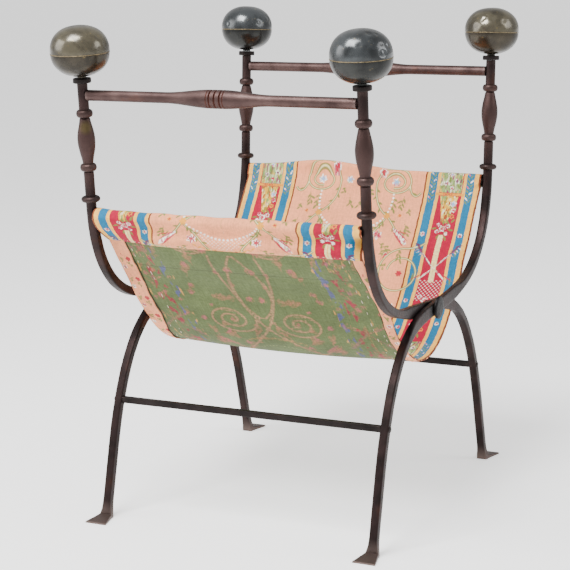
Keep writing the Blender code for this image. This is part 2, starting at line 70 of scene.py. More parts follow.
# Frame bars: four forgings in wrought iron, alike but for the hand. Each is drawn from
# one length: a turned post, a bent arc, a flattened eye for the crossing, a square leg
# and a foot hammered out flat. Left from the fire, it is dark brown and satin.
POST_X, POST_LEAN, POST_R, POST_SOFT = 0.2350, radians(3.8), 0.00815, 0.0006
PIVOT = Vector((0.0, 0.0, 0.334))
SHOULDER_Z = 0.7102
RING_UPPER_Z, RING_MIDDLE_Z, RING_R, RING_H = 0.6628, 0.5778, 0.0130, 0.0120
RING_LOWER_Z, RING_LOWER_R, RING_LOWER_H = 0.5271, 0.0150, 0.0100
RING_FULL, RING_STEPS, BALUSTER_R, BALUSTER_FULL, BALUSTER_STEPS = 0.8, 14, 0.0140, 1.4, 30
SCORE_W, SCORE_D, SCORE_SHAPE = 0.0018, 0.0010, ((0.2, 0.5), (0.6, 1.0), (1.0, 0.0))
ARC_TOP = Vector((0.0, 0.2727, 0.525))
ARC_PULL_POST, ARC_PULL_EYE, ARC_SQUARED, ARC_START = 0.179, 0.137, 0.30, 0.03
EYE_SLOPE, EYE_THICK, EYE_DEEP, EYE_REACH, EYE_TAPER = radians(4.5), 0.0090, 0.0215, 0.080, 0.055
STEP_ASIDE, STEP_START, STEP_END = 0.00465, 0.30, 0.85
BAR_WIDE, BAR_DEEP, LEG_SQUARE = 0.0135, 0.0140, 0.0135
LEG_LEAN, LEG_PULL_EYE, LEG_PULL_KNEE = radians(14.9), 0.083, 0.231
KNEE = Vector((0.0, -0.240, 0.110))
ANKLE_Z, ANKLE_FLARE, ANKLE_REACH = 0.030, 1.25, 0.75
HEEL_AXIS_Z, HEEL_WIDE, HEEL_DEEP, INSTEP_DEEP = 0.0047, 1.45, 1.3, 1.8
TOE_Y, TOE_WIDE, TOE_THICK, FOOT_SINK = 0.305, 0.0375, 0.0036, 0.0007
ROUND, SOFT_EDGE = 2.0, 7.0
BAR_SIDES, BEND_STEPS, FOOT_STEPS = 36, 55, 8
HAMMER_D, HAMMER_SIZE, SOLE_KEPT = 0.00022, 0.011, 0.0012
CREASE_ANGLE = radians(42)

ACROSS = Vector((1.0, 0.0, 0.0))
OUTWARD = Vector((0.0, -1.0, 0.0))
POST_UP = Vector((0.0, sin(POST_LEAN), cos(POST_LEAN)))
LEG_DOWN = Vector((0.0, -sin(LEG_LEAN), -cos(LEG_LEAN)))
EYE_ALONG = Vector((0.0, -cos(EYE_SLOPE), -sin(EYE_SLOPE)))
ARC = (ARC_TOP, ARC_TOP - POST_UP * ARC_PULL_POST, PIVOT - EYE_ALONG * ARC_PULL_EYE, PIVOT)
LEG = (PIVOT, PIVOT + EYE_ALONG * LEG_PULL_EYE, KNEE - LEG_DOWN * LEG_PULL_KNEE, KNEE)
HALVES = (("back", 0.0), ("front", pi))
# Each corner's half-frame, and its side and turn as the back half-frame is built
CORNERS = {
    half + ("_right" if side * cos(turn) > 0 else "_left"): (half + "_half", side, turn)
    for half, turn in HALVES for side in (1, -1)
}


def mix(a, b, u):
    return a + (b - a) * u


def ease(start, end, t):
    """Smooth rise from 0 at start to 1 at end, for numbers and arrays."""
    u = np.clip((t - start) / (end - start), 0, 1)
    return u * u * (3 - 2 * u)


def bend(points, t):
    """Point and direction of travel on a cubic bend."""
    a, b, c, d = points
    s = 1.0 - t
    at = a * s**3 + b * (3 * s * s * t) + c * (3 * s * t * t) + d * t**3
    way = (b - a) * (s * s) + (c - b) * (2 * s * t) + (d - c) * (t * t)
    return at, way.normalized()


def post_at(z):
    return ARC_TOP + POST_UP * ((z - ARC_TOP.z) / cos(POST_LEAN))


def leg_at(z):
    return KNEE + LEG_DOWN * ((KNEE.z - z) / cos(LEG_LEAN))


def stand(name, data):
    """Puts finished data in the scene as one object."""
    made = bpy.data.objects.new(name, data)
    bpy.context.scene.collection.objects.link(made)
    return made


def keep(name, bm, finish, body, slot, *nodes):
    """Closes a rigid piece, smooths it between its edges and puts it on its half-frame."""
    bmesh.ops.recalc_face_normals(bm, faces=bm.faces)
    if bm.calc_volume(signed=True) < 0:
        bmesh.ops.reverse_faces(bm, faces=bm.faces)
    for face in bm.faces:
        face.smooth = True
    for edge in bm.edges:
        edge.smooth = edge.calc_face_angle(0.0) < CREASE_ANGLE
    mesh = bpy.data.meshes.new(name)
    bm.to_mesh(mesh)
    bm.free()
    mesh.materials.append(finish)
    made = stand(name, mesh)
    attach(made, body)
    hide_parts(*nodes)
    return made


def hammer(bm, depth, size):
    """Uneven surface left by the hammer, kept off the ground sole."""
    bm.normal_update()
    for v in bm.verts:
        if v.co.z > SOLE_KEPT:
            v.co += v.normal * (depth * noise.noise(v.co / size))


def bulge(a, power):
    """Point at an angle of a unit outline that is round at power 2 and squarer above it."""
    return [abs(c) ** (2 / power) * (1 if c > 0 else -1) for c in (cos(a), sin(a))]


def section(power, sides):
    """Unit outline of a bar."""
    return [bulge(tau * (k + 0.5) / sides, power) for k in range(sides)]


def skin(rings):
    """Joins rings of points into one closed mesh with a flat face at each end."""
    bm = bmesh.new()
    made = [[bm.verts.new(point) for point in ring] for ring in rings]
    for first, second in zip(made, made[1:]):
        for k in range(len(first)):
            n = (k + 1) % len(first)
            bm.faces.new((first[k], first[n], second[n], second[k]))
    bm.faces.new(made[0])
    bm.faces.new(made[-1])
    bmesh.ops.recalc_face_normals(bm, faces=bm.faces)
    return bm


def post_profile():
    """Heights and radii of the turned post from its shoulder down."""
    yield SHOULDER_Z, POST_R - POST_SOFT
    yield SHOULDER_Z - POST_SOFT, POST_R
    for z, height, radius in (
        (RING_UPPER_Z, RING_H, RING_R), (RING_MIDDLE_Z, RING_H, RING_R),
        (RING_LOWER_Z, RING_LOWER_H, RING_LOWER_R),
    ):
        for k in range(RING_STEPS + 1):
            a = pi * k / RING_STEPS
            yield z + cos(a) * height / 2, mix(POST_R, radius, sin(a) ** RING_FULL)
        low = z - height / 2
        if z > RING_LOWER_Z:
            # A scored line under the ring
            for down, deep in SCORE_SHAPE:
                yield low - SCORE_W * down, POST_R - SCORE_D * deep
        if z == RING_UPPER_Z:
            foot = RING_MIDDLE_Z + RING_H / 2
            for k in range(2, BALUSTER_STEPS):
                u = k / BALUSTER_STEPS
                yield mix(low, foot, u), mix(POST_R, BALUSTER_R, sin(pi * u) ** BALUSTER_FULL)


def bar_stations(side):
    """Centre, direction, half sizes and squareness of each section of one bar."""
    x = side * POST_X
    for z, r in post_profile():
        yield post_at(z) + ACROSS * x, -POST_UP, r, r, ROUND
    for k in range(BEND_STEPS + 1):
        t = mix(ARC_START, 1.0, k / BEND_STEPS)
        at, way = bend(ARC, t)
        squared = ease(0.0, ARC_SQUARED, t)
        flat = 1.0 - ease(EYE_REACH, EYE_REACH + EYE_TAPER, at.y)
        wide = mix(mix(POST_R, BAR_WIDE / 2, squared), EYE_THICK / 2, flat)
        deep = mix(mix(POST_R, BAR_DEEP / 2, squared), EYE_DEEP / 2, flat)
        shift = x + STEP_ASIDE * ease(STEP_START, STEP_END, t)
        yield at + ACROSS * shift, way, wide, deep, mix(ROUND, SOFT_EDGE, squared)
    x += STEP_ASIDE
    for k in range(1, BEND_STEPS + 1):
        at, way = bend(LEG, k / BEND_STEPS)
        drawn = ease(EYE_REACH, EYE_REACH + EYE_TAPER, -at.y)
        wide = mix(EYE_THICK, LEG_SQUARE, drawn) / 2
        deep = mix(EYE_DEEP, LEG_SQUARE, drawn) / 2
        yield at + ACROSS * x, way, wide, deep, SOFT_EDGE
    half, ankle, heel = LEG_SQUARE / 2, leg_at(ANKLE_Z), leg_at(HEEL_AXIS_Z)
    for k in range(1, FOOT_STEPS + 1):
        yield mix(KNEE, ankle, k / FOOT_STEPS) + ACROSS * x, LEG_DOWN, half, half, SOFT_EDGE
    for u in (0.2, 0.4, 0.6, 0.8):
        at = mix(ankle, heel, u * ANKLE_REACH)
        yield at + ACROSS * x, LEG_DOWN, half * mix(1.0, ANKLE_FLARE, u * u), half, SOFT_EDGE
    # The heel is a mitred bend: its section lies on the bisector of leg and toe
    bisector = (LEG_DOWN + OUTWARD).normalized()
    mitre = 1.0 / LEG_DOWN.dot(bisector)
    yield heel + ACROSS * x, bisector, half * HEEL_WIDE, HEEL_AXIS_Z * HEEL_DEEP * mitre, SOFT_EDGE
    for k in range(1, FOOT_STEPS + 1):
        u = k / FOOT_STEPS
        thick = mix(HEEL_AXIS_Z * INSTEP_DEEP, TOE_THICK, u)
        at = Vector((x, mix(heel.y, -TOE_Y, u), thick / 2 - FOOT_SINK))
        yield at, OUTWARD, mix(half * HEEL_WIDE, TOE_WIDE / 2, u), thick / 2, SOFT_EDGE


def frame_bar(side, turn):
    """Sections joined into one skin, with the sole ground flat on the floor."""
    rings = []
    for at, way, wide, deep, power in bar_stations(side):
        up = ACROSS.cross(way)
        rings.append([at + ACROSS * (wide * u) + up * (deep * v) for u, v in section(power, BAR_SIDES)])
    bm = skin(rings)
    geom = bm.verts[:] + bm.edges[:] + bm.faces[:]
    bmesh.ops.bisect_plane(bm, geom=geom, plane_co=(0, 0, 0), plane_no=(0, 0, 1), clear_inner=True)
    bmesh.ops.holes_fill(bm, edges=[e for e in bm.edges if e.is_boundary], sides=0)
    bm.transform(Matrix.Rotation(turn, 4, "Z"))
    hammer(bm, HAMMER_D, HAMMER_SIZE)
    return bm


# The commonest kinds of node, and the sockets of one that mixes two colours
MATH, RANGE, MIX = "ShaderNodeMath", "ShaderNodeMapRange", "ShaderNodeMix"
NOISE, BUMP, COORDS = "ShaderNodeTexNoise", "ShaderNodeBump", "ShaderNodeTexCoord"
FACTOR, UNDER, OVER, MIXED = 0, 6, 7, 2


def linear(colour):
    """sRGB hex to the linear values that the shaders take."""
    parts = [int(colour[k : k + 2], 16) / 255 for k in (1, 3, 5)]
    return [c / 12.92 if c <= 0.04045 else ((c + 0.055) / 1.055) ** 2.4 for c in parts] + [1.0]


def wire(node, inputs):
    """Gives a node's sockets, by order or by name, values, hex colours or others' outputs."""
    for socket, value in inputs.items() if isinstance(inputs, dict) else enumerate(inputs):
        if isinstance(value, bpy.types.NodeSocket):
            node.id_data.links.new(value, node.inputs[socket])
        else:
            node.inputs[socket].default_value = linear(value) if isinstance(value, str) else value


def add_node(tree, kind, inputs=(), out=0, **settings):
    """Adds one node with its settings and inputs. Gives one output, or the node for None."""
    made = tree.nodes.new(kind)
    for name, value in settings.items():
        setattr(made, name, value)
    wire(made, inputs)
    return made if out is None else made.outputs[out]


def start_material(name):
    """A new material, what adds a node to it, and its shader."""
    made = bpy.data.materials.new(name)
    made.use_nodes = True
    return made, partial(add_node, made.node_tree), made.node_tree.nodes["Principled BSDF"]


def mottled(name, *marks):
    """Starts a material that has a place on the piece and noise there of given sizes and detail."""
    made, add, shader = start_material(name)
    place = add(COORDS, out="Object")
    noises = [add(NOISE, {"Vector": place, "Scale": 1 / size, "Detail": detail}) for size, detail in marks]
    return made, add, shader, place, *noises


def lay(add, colour, *layers):
    """Lays colours over one another. A layer is a value, where on it the layer begins and
    is full, the most of it that shows, and its colour."""
    for value, none, full, most, shade in layers:
        share = add(RANGE, (value, none, full, 0.0, most))
        colour = add(MIX, {FACTOR: share, UNDER: colour, OVER: shade}, MIXED, data_type="RGBA")
    return colour


IRON_MARKS = ((0.035, 5.0), (0.060, 6.0), (0.0015, 3.0), (0.007, 2.0))
IRON_METAL, IRON_SMOOTH, IRON_ROUGH, FOOT_RUBBED_TO = 0.82, 0.40, 0.60, 0.028
# Painted shade beside the crossing rivet: its colour, its distance beside the pivot, half width and soft
# edge
CROSSING_SHADE, CROSSING_SHADE_AT, CROSSING_SHADE_HALF, CROSSING_SHADE_SOFT = "#060505", 0.0270, 0.0075, 0.0030
HANDLED_Z, HANDLED_FADE, HANDLED_FULL = 0.615, 0.075, 0.035
GILT, GILT_AT, GILT_R, GILT_SOFT = "#544A28", (-0.2286, -0.2902, 0.6415), 0.0050, 0.0080


def wrought_iron(name, dark, ground, worn, rust, rust_share, handled=None, cut=None):
    """Forge-black iron gone brown with handling: satin, blotched over 35 mm and gritty
    at 1.5 mm, paler where edges are rubbed, rusty where damp has sat, and painted near
    black as shade in the corner beside the rivet, where one bar shadows the other."""
    made, add, shader, place, blotch, stain, grit, dent = mottled(name, *IRON_MARKS)
    edge = add("ShaderNodeNewGeometry", out="Pointiness")
    x, y, z = add("ShaderNodeSeparateXYZ", (place,), None).outputs
    hand = add(MATH, (x,), operation="SIGN")
    past = add(MATH, (y, hand, CROSSING_SHADE_AT), operation="MULTIPLY_ADD")
    crossing_shade = add(MATH, (past,), operation="ABSOLUTE")
    layers = [
        (blotch, 0.35, 0.65, 1.0, ground), (stain, 0.66 - rust_share, 0.78 - rust_share, 0.75, rust),
        # Painted shade: near black beside the rivet, where the outer bar shadows the inner one
        (edge, 0.52, 0.60, 0.5, worn), (crossing_shade, CROSSING_SHADE_HALF + CROSSING_SHADE_SOFT, CROSSING_SHADE_HALF, 0.92, CROSSING_SHADE),
        (z, FOOT_RUBBED_TO, 0.0, 0.6, worn),
    ]
    if handled:
        # Posts are browner than the rest, and one keeps a patch of old gilding
        spot = add("ShaderNodeVectorMath", (place, GILT_AT), "Value", operation="DISTANCE")
        apart = add(MATH, (z, HANDLED_Z), operation="SUBTRACT")
        apart = add(MATH, (apart,), operation="ABSOLUTE")
        layers.insert(1, (apart, HANDLED_FADE, HANDLED_FULL, 0.6, handled))
        layers.append((spot, GILT_R + GILT_SOFT, GILT_R, 0.6, GILT))
    if cut:
        depth = add("ShaderNodeAttribute", out="Fac", attribute_name="cut")
        layers.append((depth, 0.0, 1.0, 1.0, cut))
    gloss = add(RANGE, (grit, 0.3, 0.7, IRON_SMOOTH, IRON_ROUGH))
    pressed = add(BUMP, {"Height": dent, "Strength": 0.35, "Distance": 0.0006})
    rough = add(BUMP, {"Height": grit, "Strength": 0.25, "Distance": 0.0002, "Normal": pressed})
    colour = lay(add, dark, *layers)
    wire(shader, {"Metallic": IRON_METAL, "Base Color": colour, "Roughness": gloss, "Normal": rough})
    return made


FORGED_IRON = wrought_iron(
    "forged iron, fire-dark", "#1E1615", "#322423", "#75655F", "#3C241C", 0.05, handled="#4A3734",
)
for corner, (body, side, turn) in CORNERS.items():
    keep(corner + "_forged_bar", frame_bar(side, turn), FORGED_IRON, body, "iron", corner + "_frame_bar")


# Crossing rivets: the bars turn on these. Each has a broad disc head outside, a pin
# through both eyes, and an end hammered over a washer inside. Greyer than the bars.
RIVET_R, RIVET_HEAD_R, RIVET_HEAD_H, RIVET_SOFT = 0.0050, 0.0185, 0.0050, 0.0005
RIVET_EDGE_SHARE, RIVET_CROWN, RIVET_SIDES = 0.62, 0.45, 56
RIVET_WASHER_H, RIVET_END_R, RIVET_END_H = 0.0020, 0.0080, 0.0026
RIVET_HAMMER_D, RIVET_HAMMER_SIZE = 0.00030, 0.006
FIT = 0.0003


def turned(profile, sides, place, ring=False):
    """Spins (radius, height) points round Z and puts the piece in place."""
    bm = bmesh.new()
    verts = [bm.verts.new((r, 0.0, h)) for r, h in profile]
    edges = [bm.edges.new(pair) for pair in zip(verts, verts[1:])]
    if ring:
        edges.append(bm.edges.new((verts[-1], verts[0])))
    bmesh.ops.spin(
        bm, geom=verts + edges, axis=(0, 0, 1), cent=(0, 0, 0), angle=tau, steps=sides, use_merge=True,
    )
    bmesh.ops.remove_doubles(bm, verts=bm.verts, dist=1e-6)
    bm.transform(place)
    return bm


def along_x(turn, y, z):
    """From a piece spun round Z to one that lies along X on a turned half-frame."""
    return Matrix.Rotation(turn, 4, "Z") @ Matrix.Translation((0.0, y, z)) @ Matrix.Rotation(pi / 2, 4, "Y")


def repaint(node, finish):
    """A piece that keeps the solid's own shape gets its material."""
    mesh = frame["nodes"][node].data
    mesh.materials.clear()
    mesh.materials.append(finish)


RIVET_IRON = wrought_iron("rivet iron, rubbed grey", "#0E0D0E", "#151415", "#3A3736", "#181210", 0.0)
for hand, turn in (("right", 0.0), ("left", pi)):
    head = POST_X + STEP_ASIDE + EYE_THICK / 2 + FIT
    end = POST_X - STEP_ASIDE - EYE_THICK / 2 - FIT * 2 - RIVET_WASHER_H
    rim = head + RIVET_HEAD_H * RIVET_EDGE_SHARE
    profile = [(0.0, end - RIVET_END_H)]
    for k in range(1, 7):
        a = pi / 2 * k / 6
        profile.append((RIVET_END_R * sin(a), end - RIVET_END_H * cos(a)))
    profile += [(RIVET_END_R, end), (RIVET_R, end), (RIVET_R, head), (RIVET_HEAD_R - RIVET_SOFT, head)]
    profile += [(RIVET_HEAD_R, head + RIVET_SOFT), (RIVET_HEAD_R, rim)]
    for k in range(1, 8):
        a = pi / 2 * k / 8
        profile.append((RIVET_HEAD_R * cos(a) ** RIVET_CROWN, mix(rim, head + RIVET_HEAD_H, sin(a))))
    profile.append((0.0, head + RIVET_HEAD_H))
    rivet = turned(profile, RIVET_SIDES, along_x(turn, 0.0, PIVOT.z))
    hammer(rivet, RIVET_HAMMER_D, RIVET_HAMMER_SIZE)
    keep(hand + "_disc_rivet", rivet, RIVET_IRON, "back_half", "iron", hand + "_crossing_rivet")
    repaint(hand + "_rivet_washer", RIVET_IRON)


# Stretchers: a flat-sided bar between the two legs of each half-frame, with a round
# tenon through each leg that is hammered over outside. Darker, less handled iron.
STRETCHER_Z, STRETCHER_DEEP, STRETCHER_TALL = 0.1867, 0.0095, 0.0100
STRETCHER_TENON_R, STRETCHER_HEAD_R, STRETCHER_HEAD_H = 0.0040, 0.0052, 0.0018
STRETCHER_SIDES, STRETCHER_STEPS, FLAT_SIDED = 32, 40, 9.0
STRETCHER_HAMMER_D, STRETCHER_HAMMER_SIZE = 0.00018, 0.014


def upper_leg_at(z):
    """Point of the bent leg's centreline at a height, found by halving."""
    low, high = 0.0, 1.0
    for _ in range(40):
        mid = (low + high) / 2
        low, high = (mid, high) if bend(LEG, mid)[0].z > z else (low, mid)
    return bend(LEG, low)[0]


def stretcher(turn):
    at = upper_leg_at(STRETCHER_Z)
    inside, outside = POST_X - LEG_SQUARE / 2 - FIT, POST_X + LEG_SQUARE / 2 + FIT
    ends = []
    for k in range(1, 5):
        a = pi / 2 * k / 5
        ends.append((outside + STRETCHER_HEAD_H * cos(a), STRETCHER_HEAD_R * sin(a)))
    ends += [(outside, STRETCHER_HEAD_R), (outside, STRETCHER_TENON_R), (inside, STRETCHER_TENON_R)]
    sizes = [(-x, r, r, ROUND) for x, r in ends]
    for k in range(STRETCHER_STEPS + 1):
        x = mix(-inside, inside, k / STRETCHER_STEPS)
        sizes.append((x, STRETCHER_DEEP / 2, STRETCHER_TALL / 2, FLAT_SIDED))
    sizes += [(x, r, r, ROUND) for x, r in ends[::-1]]
    bm = skin([
        [(x + STEP_ASIDE, at.y + deep * u, at.z + tall * v) for u, v in section(power, STRETCHER_SIDES)]
        for x, deep, tall, power in sizes
    ])
    bm.transform(Matrix.Rotation(turn, 4, "Z"))
    hammer(bm, STRETCHER_HAMMER_D, STRETCHER_HAMMER_SIZE)
    return bm


BAR_IRON = wrought_iron("bar iron, dark", "#181413", "#282120", "#554A48", "#342017", 0.02)
for half, opposite, turn in (("back", "front", 0.0), ("front", "back", pi)):
    made = stretcher(turn)
    keep(opposite + "_bar_stretcher", made, BAR_IRON, half + "_half", "iron", opposite + "_stretcher")


# Armrest rails: turned iron with a long swelling, and at its middle two beads between
# three cut grooves with a fine scored line on either side. Browner than the bars from
# hands, and the cuts keep red-brown rust.
RAIL_Z, RAIL_END_R, RAIL_MID_R, RAIL_SWELL = 0.6912, 0.0085, 0.01425, 0.078
RAIL_GROOVE_GAP, RAIL_GROOVE_W, RAIL_GROOVE_D = 0.0088, 0.0030, 0.0016
RAIL_SCORE_AT, RAIL_SCORE_W, RAIL_SCORE_D = 0.0138, 0.0018, 0.0006
RAIL_TENON_R, RAIL_TENON_PAST = 0.0040, 0.0020
RAIL_FINE, RAIL_FINE_REACH, RAIL_PLAIN_STEPS, RAIL_SIDES = 0.00025, 0.0160, 60, 48
RAIL_CUT_CURVE, RAIL_CUT_RUST = 0.8, 0.9
RAIL_CUTS = (
    (0.0, RAIL_GROOVE_W, RAIL_GROOVE_D), (RAIL_GROOVE_GAP, RAIL_GROOVE_W, RAIL_GROOVE_D),
    (RAIL_SCORE_AT, RAIL_SCORE_W, RAIL_SCORE_D),
)


def rail_radius(h):
    """Radius at a distance from the rail's middle, and how near it lies to a cut."""
    h = abs(h)
    beads = RAIL_GROOVE_GAP + RAIL_GROOVE_W / 2
    r = mix(RAIL_MID_R, RAIL_END_R, ease(beads, beads + RAIL_SWELL, h))
    cut = 0.0
    for at, wide, deep in RAIL_CUTS:
        r -= deep * max(0.0, 1.0 - abs(h - at) / (wide / 2)) ** RAIL_CUT_CURVE
        cut = max(cut, exp(-(((h - at) / (wide * 0.5)) ** 2)))
    return r, cut


TURNED_IRON = wrought_iron(
    "turned iron, hand-worn", "#3B2B29", "#564340", "#857470", "#58362A", 0.06, cut="#4A2115",
)
for half, turn in HALVES:
    end, shoulder = POST_X + RAIL_TENON_PAST, POST_X - POST_R - FIT
    heights = list(np.arange(0.0, RAIL_FINE_REACH, RAIL_FINE))
    heights += list(np.linspace(RAIL_FINE_REACH, shoulder, RAIL_PLAIN_STEPS))
    arm = [(rail_radius(h)[0], h) for h in heights]
    arm += [(RAIL_TENON_R, shoulder), (RAIL_TENON_R, end), (0.0, end)]
    profile = [(r, -h) for r, h in arm[:0:-1]] + arm
    rail = turned(profile, RAIL_SIDES, along_x(turn, post_at(RAIL_Z).y, RAIL_Z))
    made = keep(half + "_turned_rail", rail, TURNED_IRON, half + "_half", "iron", half + "_armrest_rail")
    rust = [rail_radius(v.co.x)[1] * RAIL_CUT_RUST for v in made.data.vertices]
    made.data.attributes.new("cut", "FLOAT", "POINT").data.foreach_set("value", rust)


# Seat rods: plain round iron let into the posts, hidden in the sling's pockets.
# They are drawn bar, never handled, and keep the solid's own shape.
for half, _ in HALVES:
    repaint(half + "_seat_rod", BAR_IRON)


# Knob collars: a loose iron ring on each post's tenon, under the ball. Forged and
# filed to soft edges, as dark as the stretchers.
TENON_R, COLLAR_R, COLLAR_H, COLLAR_SOFT, COLLAR_SIDES = 0.0042, 0.01425, 0.0075, 0.00135, 48
COLLAR_HAMMER_D, COLLAR_HAMMER_SIZE = 0.00022, 0.008
NECK_R, NECK_H, KNOB_H = 0.0068, 0.0022, 0.0790
KNOB_CENTRE = FIT * 2 + COLLAR_H + NECK_H + KNOB_H / 2


def knob_place(side, turn):
    lean = Matrix.Rotation(-POST_LEAN, 4, "X")
    seat = Matrix.Translation(post_at(SHOULDER_Z) + ACROSS * (side * POST_X)) @ lean
    return Matrix.Rotation(turn, 4, "Z") @ seat


for corner, (body, side, turn) in CORNERS.items():
    flat = COLLAR_R - COLLAR_SOFT
    profile = [(TENON_R + FIT, FIT), (flat, FIT)]
    for low, start in ((FIT + COLLAR_SOFT, -pi / 2), (FIT + COLLAR_H - COLLAR_SOFT, 0.0)):
        for k in range(6):
            a = start + pi / 2 * k / 5
            profile.append((flat + COLLAR_SOFT * cos(a), low + COLLAR_SOFT * sin(a)))
    profile.append((TENON_R + FIT, FIT + COLLAR_H))
    collar = turned(profile, COLLAR_SIDES, knob_place(side, turn), ring=True)
    hammer(collar, COLLAR_HAMMER_D, COLLAR_HAMMER_SIZE)
    keep(corner + "_iron_collar", collar, BAR_IRON, body, "iron", corner + "_knob_collar")


# Ball knobs: two raised shells of bronze on a brass joint ring whose edge shows as a
# pale line. Old and dark, rubbed glossy, grey on one pair and olive on the other, and
# each knocked in a place of its own. The lower shells' skins are darker: partly their own
# tone, partly painted shade on the underside of the ball.
KNOB_R, KNOB_POWER, KNOB_WALL, KNOB_SEAM = 0.0461, 2.25, 0.0016, -0.0025
SEAM_EDGE, SEAM_PROUD, SEAM_SLEEVE_H, SEAM_SLEEVE_T = 0.0012, 0.0003, 0.0080, 0.0012
KNOB_FLOOR_R, KNOB_SIDES = 0.0120, 144
UPPER_STEPS, UPPER_IN_STEPS, LOWER_STEPS, LOWER_IN_STEPS = 46, 16, 40, 14
DENT_R, DENT_D, SWELL_D, SWELL_SIZE = 0.0046, 0.00105, 0.0004, 0.026
DENTS_ROUND, DENTS_HIGH, DENT_TOP, STRAY_TOP = 19, 0.22, 0.88, 0.85
OUTSIDE_FROM, SEAM_KEPT, SEAM_FADE = 0.80, 0.001, 0.009


def knob_curve(radius, half, start, end, steps):
    """Points of the ball's outline between two angles from its equator."""
    for k in range(steps + 1):
        c, s = bulge(mix(start, end, k / steps), KNOB_POWER)
        yield radius * c, half * s


def knob_angle(half, height):
    return asin(abs(height / half) ** (KNOB_POWER / 2)) * (1 if height > 0 else -1)


def knob_radius(radius, half, height):
    return radius * (1 - abs(height / half) ** KNOB_POWER) ** (1 / KNOB_POWER)


def knock(bm, seed, strays, cluster, turn):
    """Dents and slow unevenness on the outside of a shell, fading out at the seam."""
    rng = Random(seed)
    half = KNOB_H / 2
    spots = [(rng.uniform(0, tau), rng.uniform(-STRAY_TOP, STRAY_TOP)) for _ in range(strays)]
    around, height, count = cluster
    for _ in range(count):
        a = radians(rng.gauss(around, DENTS_ROUND)) - turn
        spots.append((a, min(DENT_TOP, rng.gauss(height, DENTS_HIGH))))
    dents = []
    for a, share in spots:
        r = knob_radius(KNOB_R, half, share * half)
        at = Vector((r * cos(a), r * sin(a), share * half))
        dents.append((at, DENT_R * rng.uniform(0.5, 1.25), DENT_D * rng.uniform(0.4, 1.2)))
    bm.normal_update()
    for v in bm.verts:
        if v.co.length < KNOB_R * OUTSIDE_FROM:
            continue
        push = SWELL_D * noise.noise(v.co / SWELL_SIZE + Vector((seed, 0, 0)))
        for at, size, deep in dents:
            push -= deep * exp(-(((v.co - at).length / size) ** 2))
        v.co += v.normal * (push * ease(SEAM_KEPT, SEAM_FADE, abs(v.co.z - KNOB_SEAM)))


BRONZE_MARKS, BRONZE_METAL, WAX_ROUGH = ((0.025, 6.0), (0.0055, 3.0), (0.0016, 4.0)), 0.6, 0.24
DIRT_MARK = (0.005, 4.0)


def old_bronze(name, ground, cloud, fleck, waxed):
    """Raised bronze with a dark skin of oxide, rubbed glossy by hands: cloudy over 25 mm,
    with a few flecks of bare yellow metal. Wax makes the lights in it brighter."""
    made, add, shader, _, clouds, flecks, fine = mottled(name, *BRONZE_MARKS)
    colour = lay(add, ground, (clouds, 0.38, 0.62, 0.9, cloud), (flecks, 0.66, 0.73, 0.6, fleck))
    gloss = add(RANGE, (clouds, 0.3, 0.7, 0.14, 0.34))
    grain = add(BUMP, {"Height": fine, "Strength": 0.12, "Distance": 0.0002})
    wire(shader, {"Metallic": BRONZE_METAL, "Coat Weight": waxed, "Coat Roughness": WAX_ROUGH})
    wire(shader, {"Base Color": colour, "Roughness": gloss, "Normal": grain})
    return made


def seam_brass():
    """Brass edge, rubbed, dull where dirt sits in it every few millimetres."""
    made, add, shader, _, dirt = mottled("brass, rubbed edge", DIRT_MARK)
    colour = lay(add, "#7C6D50", (dirt, 0.4, 0.7, 1.0, "#544A36"))
    wire(shader, {"Metallic": 0.5, "Roughness": 0.5, "Base Color": colour})
    return made


OLIVE_BRONZE = old_bronze("bronze, olive-brown skin", "#5E5847", "#312C21", "#7D6A42", 0.5)
# Lower shells: darker than the upper ones, partly their own tone and partly painted shade on the ball's
# underside
BROWN_SKIN_AND_SHADE = old_bronze("bronze, brown skin and painted shade", "#3C362B", "#211D16", "#6A5A38", 0.0)
GREY_BRONZE = old_bronze("bronze, grey skin", "#434749", "#1A1D1F", "#7A6F55", 0.6)
DRAB_SKIN_AND_SHADE = old_bronze("bronze, drab skin and painted shade", "#282927", "#131413", "#5E533A", 0.0)
SEAM_BRASS = seam_brass()
